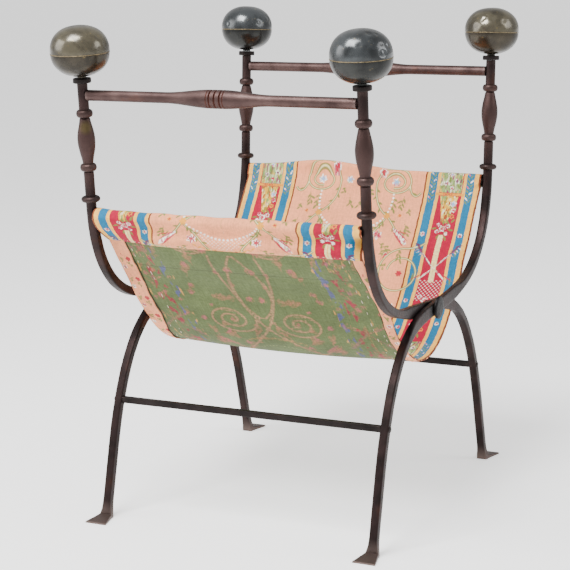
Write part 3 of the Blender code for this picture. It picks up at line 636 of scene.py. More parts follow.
# Skins of the upper and lower shell, the lower one darker by its own tone and by painted
# shade, and where the ball is knocked most: degrees round from +X, share of its half
# height, number of dents
KNOBS = {
    "back_right": (OLIVE_BRONZE, BROWN_SKIN_AND_SHADE, (-92, 0.50, 12)),
    "back_left": (GREY_BRONZE, DRAB_SKIN_AND_SHADE, (-38, 0.30, 9)),
    "front_right": (GREY_BRONZE, DRAB_SKIN_AND_SHADE, (-38, 0.48, 14)),
    "front_left": (OLIVE_BRONZE, BROWN_SKIN_AND_SHADE, (-8, 0.20, 4)),
}
UPPER_SEED, LOWER_SEED, UPPER_STRAYS, LOWER_STRAYS = 11, 31, 6, 5
half_h, inner_r, inner_h = KNOB_H / 2, KNOB_R - KNOB_WALL, KNOB_H / 2 - KNOB_WALL
lip, bore = SEAM_EDGE / 2, TENON_R + FIT
for number, (corner, (upper_skin, lower_skin_and_shade, knocks)) in enumerate(KNOBS.items()):
    body, side, turn = CORNERS[corner]
    place = knob_place(side, turn) @ Matrix.Translation((0.0, 0.0, KNOB_CENTRE))
    edge = KNOB_SEAM + lip + FIT
    outer = list(knob_curve(KNOB_R, half_h, knob_angle(half_h, edge), pi / 2, UPPER_STEPS))
    inner = list(knob_curve(inner_r, inner_h, knob_angle(inner_h, edge), pi / 2, UPPER_IN_STEPS))
    profile = [(0.0, half_h)] + outer[-2::-1] + inner[:-1] + [(0.0, inner_h)]
    upper = turned(profile, KNOB_SIDES, Matrix.Identity(4))
    knock(upper, UPPER_SEED + number, UPPER_STRAYS, knocks, turn)
    upper.transform(place)
    keep(corner + "_upper_ball_shell", upper, upper_skin, body, "bronze", corner + "_knob_upper_shell")

    edge = KNOB_SEAM - lip - FIT
    neck = -acos((NECK_R / KNOB_R) ** (KNOB_POWER / 2))
    low = -acos((KNOB_FLOOR_R / inner_r) ** (KNOB_POWER / 2))
    outer = list(knob_curve(KNOB_R, half_h, knob_angle(half_h, edge), neck, LOWER_STEPS))
    inner = list(knob_curve(inner_r, inner_h, knob_angle(inner_h, edge), low, LOWER_IN_STEPS))
    profile = outer + [(NECK_R, -half_h - NECK_H), (bore, -half_h - NECK_H)]
    profile += [(bore, -inner_h), (KNOB_FLOOR_R, -inner_h)] + inner[::-1]
    lower = turned(profile, KNOB_SIDES, Matrix.Identity(4), ring=True)
    knock(lower, LOWER_SEED + number, LOWER_STRAYS, knocks, turn)
    lower.transform(place)
    keep(corner + "_lower_ball_shell", lower, lower_skin_and_shade, body, "bronze", corner + "_knob_lower_shell")

    reach = SEAM_SLEEVE_H / 2
    sleeve = knob_radius(inner_r, inner_h, abs(KNOB_SEAM) + reach) - FIT
    rim = knob_radius(KNOB_R, half_h, KNOB_SEAM)
    profile = [(sleeve - SEAM_SLEEVE_T, -reach), (sleeve, -reach), (sleeve, -lip)]
    profile += [(rim + SEAM_PROUD * cos(a), lip * sin(a)) for a in np.linspace(-pi / 2, pi / 2, 5)]
    profile += [(sleeve, lip), (sleeve, reach), (sleeve - SEAM_SLEEVE_T, reach)]
    ring = turned(profile, KNOB_SIDES, place @ Matrix.Translation((0.0, 0.0, KNOB_SEAM)), ring=True)
    keep(corner + "_brass_seam", ring, SEAM_BRASS, body, "brass", corner + "_knob_seam_ring")
    repaint(corner + "_knob_washer", BAR_IRON)


# Sling: one length of figured brocade, face inward. At each end it goes over its rod
# and down outside as a deep hem, and its sides are turned to the outside and sewn.
CLOTH_T, SLING_HALF, SIDE_HEM = 0.0012, 0.2255, 0.0150
LEFT_HEM_MORE, MORE_FROM, MORE_TO = 0.0160, 0.44, 0.56
ROD_DOWN, ROD_ROUND, POCKET_IN, POCKET_DEEP, POCKET_SNUG = 0.0230, 0.0084, 0.0320, 0.0420, 0.0021
ROD = Vector((ARC_TOP - POST_UP * ROD_DOWN).yz)
STITCH = ROD + Vector((-POCKET_IN, -POCKET_DEEP))
SEWN_BELOW, WALL_IN, WALL_UP, EDGE_OUT, EDGE_BELOW = 0.0033, 0.0010, 0.012, 0.0019, 0.002
SLING_LOW_Z, SLING_PULL_HEM, SLING_PULL_LOW, SOFT_FROM, SOFT_REACH = 0.2475, 0.118, 0.100, 28, 16
SLING_SAG, FOLD_D, FOLDS, CRUMPLE_D, CRUMPLES, CRUMPLE_LEAN = 0.0080, 0.0022, 6.5, 0.0010, 19.0, 46.0
CRUMPLE_MIDDLE, SWAY_BACK, SWAY_FRONT, EDGE_WAVE_D, EDGE_WAVES = 0.4, 1.1, 0.2, 0.0011, 75
HEM_SLACK, HEM_LIFTS = 0.0028, ((0.0122, -0.33, 0.36), (0.0018, 0.10, 0.09))
LEFT_END, SETTLE_LEFT, SETTLE_MIDDLE, SETTLE_D, SETTLE_WAVES = -0.75, 0.0022, 0.0010, 0.0006, 23
FRONT_HEM_OUT, FRONT_HEM_FADE, FRONT_HEM_TURN = 0.0280, 0.1000, -0.45
FRONT_HEM_FULL, FRONT_HEM_BAG, HEM_LAP = 0.0055, 1.2, 0.0048
PINCH, PINCH_FROM, PINCH_SEWN = 0.90, 0.92, 0.004
CREASE_DOWN, CREASE_Z, CREASE_D, CREASE_HALF = 0.117, 0.412, 0.0012, 0.004
SEAT_STEPS, ROD_STEPS = 60, 24
# Heights above the rod between which the cloth changes
SWING_BELOW, OVER_ROD, PINCHED, LAP_TOP, LAP_FOOT = (
    -0.012, (-0.002, 0.006), (-0.004, -0.013), (0.0065, 0.003), (-0.011, -0.005),
)


def run_of(line):
    return np.r_[0, np.cumsum(np.hypot(*np.diff(line, axis=0).T))]


def spaced(points, step=0.0005):
    """The same line with its points at even steps."""
    line = np.array([tuple(q) for q in points], float)
    run = run_of(line)
    t = np.linspace(0, run[-1], int(round(run[-1] / step)) + 1)
    return np.c_[np.interp(t, run, line[:, 0]), np.interp(t, run, line[:, 1])]


def sling_lines():
    """Evenly spaced (y, z) points of the back half: the seat from the top of the rod down
    to the sling's lowest line, and the hem from the same start down to its sewn edge."""
    down = (STITCH - ROD).normalized()
    inward = Vector((down.y, -down.x))
    away, spread = atan2(down.y, down.x), acos((ROD_ROUND - POCKET_SNUG) / (STITCH - ROD).length)
    over_rod = [
        [ROD + Vector((cos(a), sin(a))) * ROD_ROUND for a in np.linspace(pi / 2, end, ROD_STEPS)]
        for end in (away - spread + tau, away + spread)
    ]
    start, low = STITCH + down * SEWN_BELOW, Vector((0.0, SLING_LOW_Z))
    path = (start, start + down * SLING_PULL_HEM, low + Vector((SLING_PULL_LOW, 0.0)), low)
    seat = over_rod[0] + [STITCH + inward * WALL_IN - down * WALL_UP]
    seat = spaced(seat + [bend(path, k / SEAT_STEPS)[0] for k in range(SEAT_STEPS + 1)])
    soft = seat.copy()
    for k in range(SOFT_FROM + 2, len(seat) - SOFT_FROM - 2):
        reach = min(SOFT_REACH, k - SOFT_FROM)
        soft[k] = seat[k - reach : k + reach + 1].mean(0)
    return soft, spaced(over_rod[1] + [STITCH - inward * EDGE_OUT + down * EDGE_BELOW])


def by_rod(span, z):
    return ease(ROD.y + span[0], ROD.y + span[1], z)


def near_end(u, back):
    """Rises towards both ends of the back pocket, and the right end of the front one."""
    return ease(PINCH_FROM, 1.0, np.where(back, np.abs(u), u))


def hang(u, y, z, back):
    """The sling's section carried across its width: slack middle, folds from hem to hem,
    a back hem that rides up on its rod, and a front hem that hangs plumb but for its
    left end. The front panel has an old crease across it."""
    hem = STITCH.y
    free = 1.0 - ease(SLING_LOW_Z, hem, z)
    panel = 4.0 * free * (1.0 - free)
    sway = np.where(back, SWAY_BACK, SWAY_FRONT)
    fold = FOLD_D * panel * np.sin(u * FOLDS + sway)
    uneven = CRUMPLE_MIDDLE + (1 - CRUMPLE_MIDDLE) * np.abs(u)
    fold = fold + CRUMPLE_D * panel * np.sin(u * CRUMPLES + z * CRUMPLE_LEAN + sway * 2) * uneven
    below = ease(ROD.y + SWING_BELOW, hem, z) * (1.0 - ease(hem, hem - FRONT_HEM_FADE, z))
    swing = FRONT_HEM_OUT * below * ease(-1.0, FRONT_HEM_TURN, u)
    crease = CREASE_D * np.exp(-(((z - CREASE_Z) / CREASE_HALF) ** 2))
    lift = HEM_SLACK
    for high, at, wide in HEM_LIFTS:
        lift = lift + high * np.exp(-(((u - at) / wide) ** 2))
    settle = SETTLE_LEFT * ease(LEFT_END, -1.0, u) - SETTLE_MIDDLE * (1 - u * u)
    settle = settle + SETTLE_D * np.sin(u * SETTLE_WAVES)
    # Below the rod both walls of a pocket lie flat together at its ends
    between = ROD.x + (STITCH.x - ROD.x) * (ROD.y - z) / POCKET_DEEP
    pinch = PINCH * near_end(u, back) * by_rod(PINCHED, z) * ease(hem - PINCH_SEWN, hem + PINCH_SEWN, z)
    y = y + (between - y) * pinch
    wide = SLING_HALF + EDGE_WAVE_D * np.sin(z * EDGE_WAVES + sway) * panel
    y = np.where(back, y + fold, -(y + fold + swing - crease))
    raised = np.where(back, lift, settle) * by_rod(OVER_ROD, z)
    return u * wide, y, z - SLING_SAG * free * (1.0 - u * u) + raised


def side_hem(across, run):
    """Depth of the turned sides, which were folded deeper towards the front on the left."""
    return SIDE_HEM + LEFT_HEM_MORE * ease(MORE_FROM, MORE_TO, run) * (across < 0)


SEAT_LINE, HEM_LINE = sling_lines()
SEAT_RUN, HEM_RUN = run_of(SEAT_LINE), run_of(HEM_LINE)
SEAT_LONG, HEM_LONG = SEAT_RUN[-1] * 2, HEM_RUN[-1]

# The woven figure, in millimetres of the flat cloth: across from its middle line, and
# along from the top of the back rod. It is mirrored about the middle line, and comes
# again so that the front hem begins with the knot of the pearl swag.
FRONT_STARTS_AT, BAND_AT, VINES_END_AT, FAR = 76.0, 173.5, 150.0, 40.0
REPEAT = (SEAT_LONG * 1000 - FRONT_STARTS_AT) / 2
FIGURES = ("vase", "quiver", "staff", "net", "leaf", "gold", "white", "blue", "plum", "red")
LINES = ("vine side", "vine far", "pearl side", "pearl far", "pearl run")


def curl(cx, cy, start, end, turns, angle, tall=1.0, steps=170):
    """Scroll that winds in to its middle."""
    t = np.linspace(0, 1, steps)
    a, r = angle + turns * tau * t, start + (end - start) * t**0.8
    return np.c_[cx + r * np.cos(a), cy + tall * r * np.sin(a)]


def stalk(a, b, c, d, steps=80):
    t = np.linspace(0, 1, steps)[:, None]
    a, b, c, d = (np.array(p, float) for p in (a, b, c, d))
    return a * (1 - t) ** 3 + b * 3 * (1 - t) ** 2 * t + c * 3 * (1 - t) * t**2 + d * t**3


# Stalks that come in every repeat, and the lower scrolls, which differ by turns
STALKS = [
    stalk((35, 24), (34, 55), (48, 78), (66, 88)), stalk((99, 30), (101, 43), (110, 53), (118, 43)),
    stalk((66, 88), (74, 96), (80, 104), (88, 114)), stalk((66, 88), (58, 112), (36, 128), (22, 156)),
]
UPPER = [curl(71, 24, 36, 14, 1.75, pi, 0.76)] + STALKS
LOWER = (
    [curl(113, 192, 45, 24, -1.2, -pi / 2), stalk((148, 136), (139, 144), (127, 147), (113, 147))],
    [
        curl(62, 198, 46, 8, 2.2, pi, 0.85), stalk((0, 180), (34, 234), (50, 304), (41, 350)),
        stalk((5, 209), (44, 244), (36, 304), (4, 353)), stalk((0, 180), (8, 168), (22, 152), (30, 141)),
    ],
)
VINES = [line + (0.0, n * REPEAT) for n in (-1, 0, 1, 2) for line in UPPER + LOWER[n % 2]]
SWAG_LOW, SWAG_RISE, SWAG_HALF = 124, 36, 66
SWAG_X = np.linspace(0, SWAG_HALF, 90)
PEARLS = np.vstack([
    np.c_[SWAG_X, SWAG_LOW - SWAG_RISE * (SWAG_X / SWAG_HALF) ** 2][:80],
    stalk((67, 79), (68, 70), (71, 60), (70, 48)),
])


def nearest(lines, x, y):
    """Signed side distance, plain distance and run to the closest of several lines."""
    ways = [np.gradient(line, axis=0) for line in lines]
    ways = np.vstack([way / np.linalg.norm(way, axis=1)[:, None] for way in ways])
    points, runs = np.vstack(lines), np.concatenate([run_of(line) for line in lines])
    tree = KDTree(len(points))
    for k, (px, py) in enumerate(points):
        tree.insert((px, py, 0.0), k)
    tree.balance()
    index = np.array([tree.find((a, b, 0.0))[1] for a, b in zip(x, y)])
    off, way = np.c_[x, y] - points[index], ways[index]
    side = off[:, 1] * way[:, 0] - off[:, 0] * way[:, 1]
    return side, np.hypot(*off.T), runs[index] + (off * way).sum(1)


def brocade(across, along):
    """For each colour of weft, how far a point of the cloth lies outside its shapes, less
    than nothing inside them."""
    x, y = np.abs(across), along % REPEAT
    band = across - np.sign(across) * BAND_AT
    figure = {colour: np.full(len(x), FAR) for colour in FIGURES}
    chance = Random(5)

    def off(cy):
        return (y - cy + REPEAT / 2) % REPEAT - REPEAT / 2

    def put(colour, *bounds):
        figure[colour] = np.minimum(figure[colour], np.maximum.reduce(bounds))

    def flower(colour, a, cx, cy, r, petals, notch):
        dx, dy = a - cx, off(cy)
        rim = r * (1 - notch + notch * np.cos(petals * (np.arctan2(dy, dx) - cx)))
        put(colour, np.hypot(dx, dy) - rim)

    def bloom(ground, heart, a, cx, cy, r, petals=6):
        flower(ground, a, cx, cy, r, petals, 0.18)
        flower(heart, a, cx, cy, r * 0.72, petals, 0.36)

    def blade(colour, a, cx, cy, long, wide, turn):
        dx, dy = a - cx, off(cy)
        p = dx * cos(turn) + dy * sin(turn)
        q = dy * cos(turn) - dx * sin(turn)
        put(colour, np.abs(q) - wide * (1 - (p / long) ** 2))

    def sprig(cx, cy, turn, leaves, long):
        for n in range(leaves):
            lean = turn + chance.uniform(0.2, 0.9) * (1 if n % 2 else -1)
            root, reach = long * 0.75 * n, long * chance.uniform(0.7, 1.2)
            at_x = cx + root * cos(turn) + reach * cos(lean)
            at_y = cy + root * sin(turn) + reach * sin(lean)
            blade("leaf", x, at_x, at_y, reach, 1.0 + long * 0.16, lean)
        blade("leaf", x, cx + long * cos(turn), cy + long * sin(turn), long * leaves * 0.5, 0.8, turn)

    # Leaves on the stalks, by turns on either side
    for line in STALKS:
        way, run = np.gradient(line, axis=0), run_of(line)
        for n, at in enumerate(np.arange(12.0, run[-1] - 6.0, 13.0)):
            k = int(np.searchsorted(run, at))
            turn = atan2(way[k, 1], way[k, 0]) + (0.7 if n % 2 else -0.7)
            blade("leaf", x, line[k, 0] + 6 * cos(turn), line[k, 1] + 6 * sin(turn), 5.4, 1.9, turn)
    # Sprigs over the ground, thickest below the scrolls
    for place in (
        (90, 52, 1.8, 5, 5.5), (72, 54, 1.5, 5, 6.0), (24, 38, 1.2, 3, 5.0), (12, 58, 1.9, 4, 5.0),
        (104, 104, 1.2, 5, 5.5), (60, 97, 1.9, 3, 5.0), (104, 72, 1.4, 3, 4.5), (66, 142, 0.6, 5, 5.5),
        (30, 156, 1.9, 4, 5.0), (104, 150, 1.3, 5, 5.5), (80, 150, 2.2, 4, 4.5), (14, 176, 1.2, 3, 5.0),
        (84, 176, 2.0, 3, 5.0), (58, 248, 0.2, 4, 5.5), (58, 248, 2.9, 4, 5.5), (60, 244, 1.5, 3, 5.0),
        (100, 306, 1.9, 4, 7.0), (78, 336, 1.5, 4, 6.0),
    ):
        sprig(*place)
    # Flowers of the middle field, and of the stripe with its two blue edges
    for a, ground, heart, places in (
        (x, "white", "blue", ((71, 23, 9.0), (18, 22, 8.0))), (x, "gold", "gold", ((66, 88, 7.0),)),
        (x, "gold", "red", ((90, 86, 4.2), (18, 150, 4.5))), (x, "red", "red", ((113, 194, 6.5),)),
        (x, "white", "red", (
            (45, 9, 8.5), (56, 125, 9.6), (60, 198, 5.5), (11, 252, 8.0), (80, 160, 4.6), (19, 319, 9.0),
            (45, 312, 6.5), (107, 274, 7.0), (92, 327, 8.5), (114, 258, 7.0), (30, 284, 5.0), (86, 230, 4.5),
        )),
        (band, "white", "blue", ((-1, 6, 4.6), (10, 58, 7.0))), (band, "plum", "red", ((-12, -2, 4.8),)),
        (band, "white", "gold", ((-9, 112, 4.4), (8, 115, 4.2))),
        (band, "gold", "red", ((12, 82, 5.0), (9, 304, 5.6))),
        (band, "white", "plum", ((-10, 20, 5.0), (10, 16, 5.2), (12, -4, 5.0), (0, 284, 7.4))),
        (band, "white", "red", (
            (2, 28, 4.0), (13, 70, 4.8), (0, 106, 6.6), (9, 101, 4.8), (-8, 99, 4.2), (0, 244, 7.4),
            (-11, 236, 4.8), (11, 252, 4.8), (-10, 294, 5.2), (-34, 118, 5.0), (34, 118, 5.0),
            (-34, 244, 4.4), (34, 236, 4.4), (-33, 300, 4.6), (34, 290, 4.6),
        )),
    ):
        for place in places:
            bloom(ground, heart, a, *place)
    # Lily on its stalk: white, with red lips and a green sheath
    for colour, shift, long, wide, turn in (
        ("leaf", -5.6, 15, 1.9, 0.98), ("white", 0.0, 23, 5.8, 0.76), ("red", 4.4, 21, 1.9, 0.82),
        ("red", -4.0, 17, 1.4, 0.62), ("red", -8.6, 15, 1.2, 0.16), ("gold", 0.4, 10, 1.0, 0.76),
    ):
        blade(colour, x, 99 - shift * sin(turn), 126 + shift * cos(turn), long, wide, turn)
    blade("red", x, 80, 162, 12, 1.4, -0.86)
    # Net under the pearls, with a spray of yellow leaves below it
    dy = y - (SWAG_LOW - SWAG_RISE * (np.minimum(x, SWAG_HALF) / SWAG_HALF) ** 2)
    put("net", 2.0 - dy, dy - 22 * (1 - (x / 62) ** 2), x - 58)
    for n in range(7):
        blade("gold", x, 5 + 7.5 * n, 151 - 0.35 * n * n, 5.0, 1.5, 0.5 if n % 2 else -0.7)
    # Stripe: a vase of flowers and its bar, a quiver that tapers, a nosegay, a cream staff
    # with two plumes laid over it, and lace
    for cx, cy, long, turn in (
        (-15, 26, 7, 2.2), (15, 26, 7, 0.9), (-3, 14, 8, 1.3), (4, -2, 7, 1.7), (16, 66, 6, 1.4),
        (9, 80, 6, 0.5), (16, 90, 6, 2.2), (8, 94, 6, 1.0), (-15, 106, 6, 2.9), (15, 108, 6, 0.2),
        (-6, 122, 6, 1.9), (8, 124, 6, 1.1), (0, 94, 6, 1.5), (12, 286, 7, 0.5), (-14, 280, 7, 2.4),
        (8, 318, 7, 1.2), (-6, 270, 7, 1.9), (-12, 312, 7, 0.8), (34, 150, 11, 1.5), (-34, 200, 10, 1.6),
        (34, 205, 10, 1.5),
    ):
        blade("leaf", band, cx, cy, long, 1.8, turn)
    for colour, cx, wide, cy, long in (
        ("vase", 0, 20.5, 8, 29), ("gold", 0, 26, 40, 2.2), ("red", -4, 9, 40, 0.9),
        ("staff", 0, 4.7, 163, 45), ("gold", 0, 0.6, 163, 44), ("net", 0, 20.5, 224, 20),
    ):
        put(colour, np.abs(band - cx) - wide, np.abs(off(cy)) - long)
    dy = off(43)
    put("quiver", np.abs(band) - (17.0 - 0.23 * dy), -dy, dy - 52)
    for s in (-1, 1):
        for colour, cx, cy, long, wide, turn in (
            ("white", 17, 163, 26, 1.3, -0.84), ("plum", 19, 162, 25, 0.9, -0.90),
            ("white", -14, 194, 22, 1.5, -0.785), ("red", -25, 197, 17, 1.2, -0.55),
        ):
            blade(colour, band, s * cx, cy, long, wide, s * turn)
        for n in range(4):
            blade("plum", band, s * (37 - 3 * n), 138 + 4 * n, 6.5, 1.7, s * (-0.3 - 0.5 * (n % 2)))
            blade("white", band, s * (40 - 4 * n), 143 + 4 * n, 5.0, 1.0, s * (0.5 + 0.3 * (n % 2)))
        # Sprays down the two blue stripes
        for n in range(21):
            way = 1 if n % 2 else -1
            colour = "leaf" if n % 3 else "white"
            blade(colour, band, s * 34 + 3.0 * way, -16 + 3.5 * n, 4.6, 1.4, 1.57 + 0.7 * way)
    # Small flowers on the ground beyond the outer stripe, which shows on the turned sides
    for cy in np.arange(22, REPEAT - 10, 47):
        bloom("white", "red", x, 232, cy, 5.4, 5)
        bloom("red", "red", x, 247, cy + 21, 6.0, 5)
        sprig(246, cy + 2, 1.7, 3, 4.5)
        sprig(231, cy + 12, 1.3, 3, 4.5)
        blade("red", x, 236, cy + 30, 5.0, 1.2, 2.1)
    figure["turned"] = (SLING_HALF - side_hem(across, along / 1000)) * 1000 - x
    figure["vine side"], figure["vine far"], _ = nearest(VINES, x, along)
    figure["vine far"] += np.maximum(x - VINES_END_AT, 0) * 4
    figure["pearl side"], figure["pearl far"], figure["pearl run"] = nearest([PEARLS], x, y)
    return figure


# Unevenness of the yarn: its size across and along in millimetres, and its detail
YARN = (
    ("wander", 9.0, 9.0, 2.0), ("thread", 3.0, 1.4, 2.0), ("fade", 60.0, 60.0, 5.0),
    ("float", 12.0, 24.0, 3.0), ("slub", 2.0, 30.0, 3.0), ("mottle", 5.0, 4.0, 4.0),
    ("wrinkle", 42.0, 16.0, 3.0),
)
TONES = (("fade", 0.14, 0.08), ("slub", 0.10, 0.08), ("mottle", 0.12, 0.10))
STRIPE_SPAN, WANDER, RAGGED, EDGE_SOFT, LINE_SOFT, DARK_SOFT = 250.0, 1.1, 1.7, 0.5, 0.4, 0.6
FLOSS_WIDE, FLOSS_LONG, NET_STEP, RIB_ALONG, RIB_ACROSS = 2.3, 6.5, 7.0, 1.3, 1.6
VINE_HALF, VINE_LIGHT_HALF, PEARL_STEP, PEARL_R, LINE_END, LINE_FULL = 2.2, 0.7, 7.0, 2.0, 4.2, 3.4
# Painted shade lines on the back: under the turned side and along the old crease
HEM_SHADOW_AT, HEM_SHADOW_HALF, CREASE_SHADE_HALF, LINE_SHADE = 1.2, 1.4, 0.9, "#231C12"
LAYERS = (
    "vase", "quiver", "staff", "knot", "vine", "vine light", "leaf", "gold", "white", "blue", "plum", "red",
    "pearl",
)


def brocade_cloth(name, stripes, colours, shown, patchy, bleed, faded, back):
    """Silk and cotton brocade, woven: matt, with ragged edges where the coloured wefts
    turn, floss broken into short floats in the vase and quiver, and a ground faded in
    clouds over 60 mm. On the back the stripes' wefts come up only in floats. The ribs of
    the weft, really about 0.5 mm apart, are drawn at 1.3 mm so that they show."""
    made, add, shader = start_material(name)
    read = {
        part: add("ShaderNodeAttribute", out="Fac", attribute_name=part)
        for part in ("across", "along", "turned") + FIGURES + LINES
    }

    def wave(way, step):
        turns = add(MATH, (read[way], tau / step), operation="MULTIPLY")
        return add(MATH, (turns,), operation="SINE")

    flat = add("ShaderNodeCombineXYZ", (read["across"], read["along"]))
    yarn = {}
    for mark, wide, long, detail in YARN:
        scaled = add("ShaderNodeMapping", {"Vector": flat, "Scale": (1 / wide, 1 / long, 1.0)})
        yarn[mark] = add(NOISE, {"Vector": scaled, "Scale": 1.0, "Detail": detail})
    wander, thread = [
        add(RANGE, (yarn[mark], 0.0, 1.0, -most, most))
        for mark, most in (("wander", WANDER), ("thread", RAGGED))
    ]
    far = add(MATH, (read["across"],), operation="ABSOLUTE")
    moved = add(MATH, (far, wander), operation="ADD")
    spot = add(MATH, (moved, STRIPE_SPAN), operation="DIVIDE")
    scaled = (1 / FLOSS_WIDE, 1 / FLOSS_LONG, 1.0)
    scaled = add("ShaderNodeMapping", {"Vector": flat, "Scale": scaled})
    floss = add("ShaderNodeTexVoronoi", {"Vector": scaled, "Scale": 1.0}, "Color")
    picked = add("ShaderNodeSeparateColor", (floss,), None).outputs
    shades = dict(colours, stripes=[(at / STRIPE_SPAN, shade) for at, shade in stripes])
    for part, value in (("stripes", spot), ("vase", picked[0]), ("quiver", picked[1]), ("white", picked[2])):
        ramp = add("ShaderNodeValToRGB", (value,), None)
        ramp.color_ramp.interpolation = "CONSTANT"
        marks = ramp.color_ramp.elements
        marks.remove(marks[1])
        for n, (at, shade) in enumerate(shades[part]):
            stop = marks.new(at) if n else marks[0]
            stop.color = linear(shade)
        shades[part] = ramp.outputs["Color"]

    # How much of each colour shows at a point
    shares = {}
    for part in FIGURES:
        edge = add(MATH, (read[part], thread), operation="ADD")
        shares[part] = add(RANGE, (edge, EDGE_SOFT + bleed * 2, -EDGE_SOFT, 0.0, shown))
    crossed = add(MATH, (wave("across", NET_STEP), wave("along", NET_STEP)), operation="MULTIPLY")
    tied = add(RANGE, (crossed, 0.10, 0.90, 0.0, 1.0))
    shares["knot"] = add(MATH, (tied, shares["net"]), operation="MULTIPLY")
    apart = add(MATH, (read["vine side"],), operation="ABSOLUTE")
    bead = add(MATH, (read["pearl run"], PEARL_STEP / 2), operation="PINGPONG")
    spread = add("ShaderNodeCombineXYZ", (bead, read["pearl side"]))
    middle = add("ShaderNodeVectorMath", (spread,), "Value", operation="LENGTH")
    for part, value, reach, line in (
        ("vine", apart, VINE_HALF, "vine far"), ("vine light", apart, VINE_LIGHT_HALF, "vine far"),
        ("pearl", middle, PEARL_R, "pearl far"),
    ):
        none, full = reach + LINE_SOFT + bleed * LINE_SOFT, reach - LINE_SOFT - bleed
        drawn = add(RANGE, (value, none, full, 0.0, shown))
        close = add(RANGE, (read[line], LINE_END, LINE_FULL, 0.0, 1.0))
        shares[part] = add(MATH, (drawn, close), operation="MULTIPLY")

    colour = shades["stripes"]
    if back:
        colour = lay(add, stripes[0][1], (yarn["float"], 0.53, 0.59, 0.85, colour))
    seen = add(RANGE, (yarn["mottle"], 0.35, 0.60, patchy, 1.0))
    for part in LAYERS:
        share = add(MATH, (shares[part], seen), operation="MULTIPLY")
        layer = {FACTOR: share, UNDER: colour, OVER: shades[part]}
        colour = add(MIX, layer, MIXED, data_type="RGBA")
    if back:
        # Dark lines painted as shade: the shadow under the turned side, and shade in the old crease
        for value, at, half, most in (
            (read["turned"], HEM_SHADOW_AT, HEM_SHADOW_HALF, 0.9),
            (read["along"], (SEAT_LONG - CREASE_DOWN) * 1000, CREASE_SHADE_HALF, 0.45),
        ):
            off = add(MATH, (value, at), operation="SUBTRACT")
            off = add(MATH, (off,), operation="ABSOLUTE")
            off = add(MATH, (off, thread), operation="ADD")
            colour = lay(add, colour, (off, half + DARK_SOFT, half - DARK_SOFT, most, LINE_SHADE))
    for mark, least, most in TONES:
        tone = add(RANGE, (yarn[mark], 0.3, 0.7, 1 - faded * least, 1 + faded * most))
        layer = {FACTOR: 1.0, UNDER: colour, OVER: tone}
        colour = add(MIX, layer, MIXED, data_type="RGBA", blend_type="MULTIPLY")
    ribs = add(MATH, (wave("along", RIB_ALONG), wave("across", RIB_ACROSS)), operation="ADD")
    creased = add(BUMP, {"Height": yarn["wrinkle"], "Strength": 0.5, "Distance": 0.0022})
    woven = add(BUMP, {"Height": ribs, "Strength": 0.2, "Distance": 0.00012, "Normal": creased})
    wire(shader, {"Roughness": 0.85, "Sheen Weight": 0.06, "Specular IOR Level": 0.2})
    wire(shader, {"Base Color": colour, "Normal": woven})
    return made


PEACH, STRAW, BLUE, EDGING = "#EE9A6E", "#E9AE50", "#12678D", "#743A22"
SAGE, SALMON, OCHRE, ROSE, CREAM = "#57633B", "#A4644A", "#B98A45", "#A8505A", "#F1EADF"
FACE_STRIPES = (
    (0.0, PEACH), (123.5, EDGING), (126.3, STRAW), (132.5, BLUE), (146.5, STRAW), (152.5, "#A20B31"),
    (194.5, STRAW), (200.5, BLUE), (214.5, STRAW), (222.0, EDGING), (225.4, PEACH),
)
BACK_STRIPES = (
    (0.0, SAGE), (129.0, "#C08A45"), (133.0, "#4C4F78"), (146.5, SAGE), (152.0, "#8E1A36"), (176.0, SAGE),
    (188.0, OCHRE), (191.0, SAGE),
)
FACE_COLOURS = {
    "vase": (
        (0.0, "#86A05E"), (0.36, "#B4BE8C"), (0.52, "#8E4160"), (0.60, "#C9A84E"), (0.68, "#6F8F52"),
        (0.90, "#DCD6BC"), (0.95, "#6E2F4E"),
    ),
    "quiver": (
        (0.0, "#D9A62E"), (0.38, "#93802E"), (0.54, "#E0C46A"), (0.70, "#9A4A24"), (0.79, "#7F9A55"),
        (0.92, "#E2D8B8"),
    ),
    "white": ((0.0, CREAM), (0.34, "#D79A8C"), (0.48, CREAM), (0.70, "#AEB98A"), (0.82, "#B9526A")),
    "staff": "#EBD594", "knot": "#EED3C4", "vine": "#7A7639", "vine light": "#DCCF99", "leaf": "#6E7A3A",
    "gold": "#DE942A", "blue": "#86A6CC", "plum": "#642F4C", "red": "#AB1432", "pearl": "#F6F1E6",
}
BACK_COLOURS = {
    "vase": ((0.0, SAGE), (0.62, ROSE), (0.74, SAGE), (0.90, OCHRE)),
    "quiver": ((0.0, SAGE), (0.58, "#9C1F3C"), (0.72, SAGE), (0.90, OCHRE)),
    "white": ((0.0, SALMON), (0.7, SAGE)), "staff": SAGE, "knot": SAGE, "vine": "#AE6D55",
    "vine light": "#8F8A5A", "leaf": SALMON, "gold": "#A97A42", "blue": "#8A8B66", "plum": "#7E4A55",
    "red": ROSE, "pearl": "#8A8F5C",
}
CLOTH_FACE = brocade_cloth(
    "brocade, face", FACE_STRIPES, FACE_COLOURS, shown=1.0, patchy=0.85, bleed=0.0, faded=1.0, back=False,
)
CLOTH_BACK = brocade_cloth(
    "brocade, back", BACK_STRIPES, BACK_COLOURS, shown=0.72, patchy=0.30, bleed=0.8, faded=1.7, back=True,
)


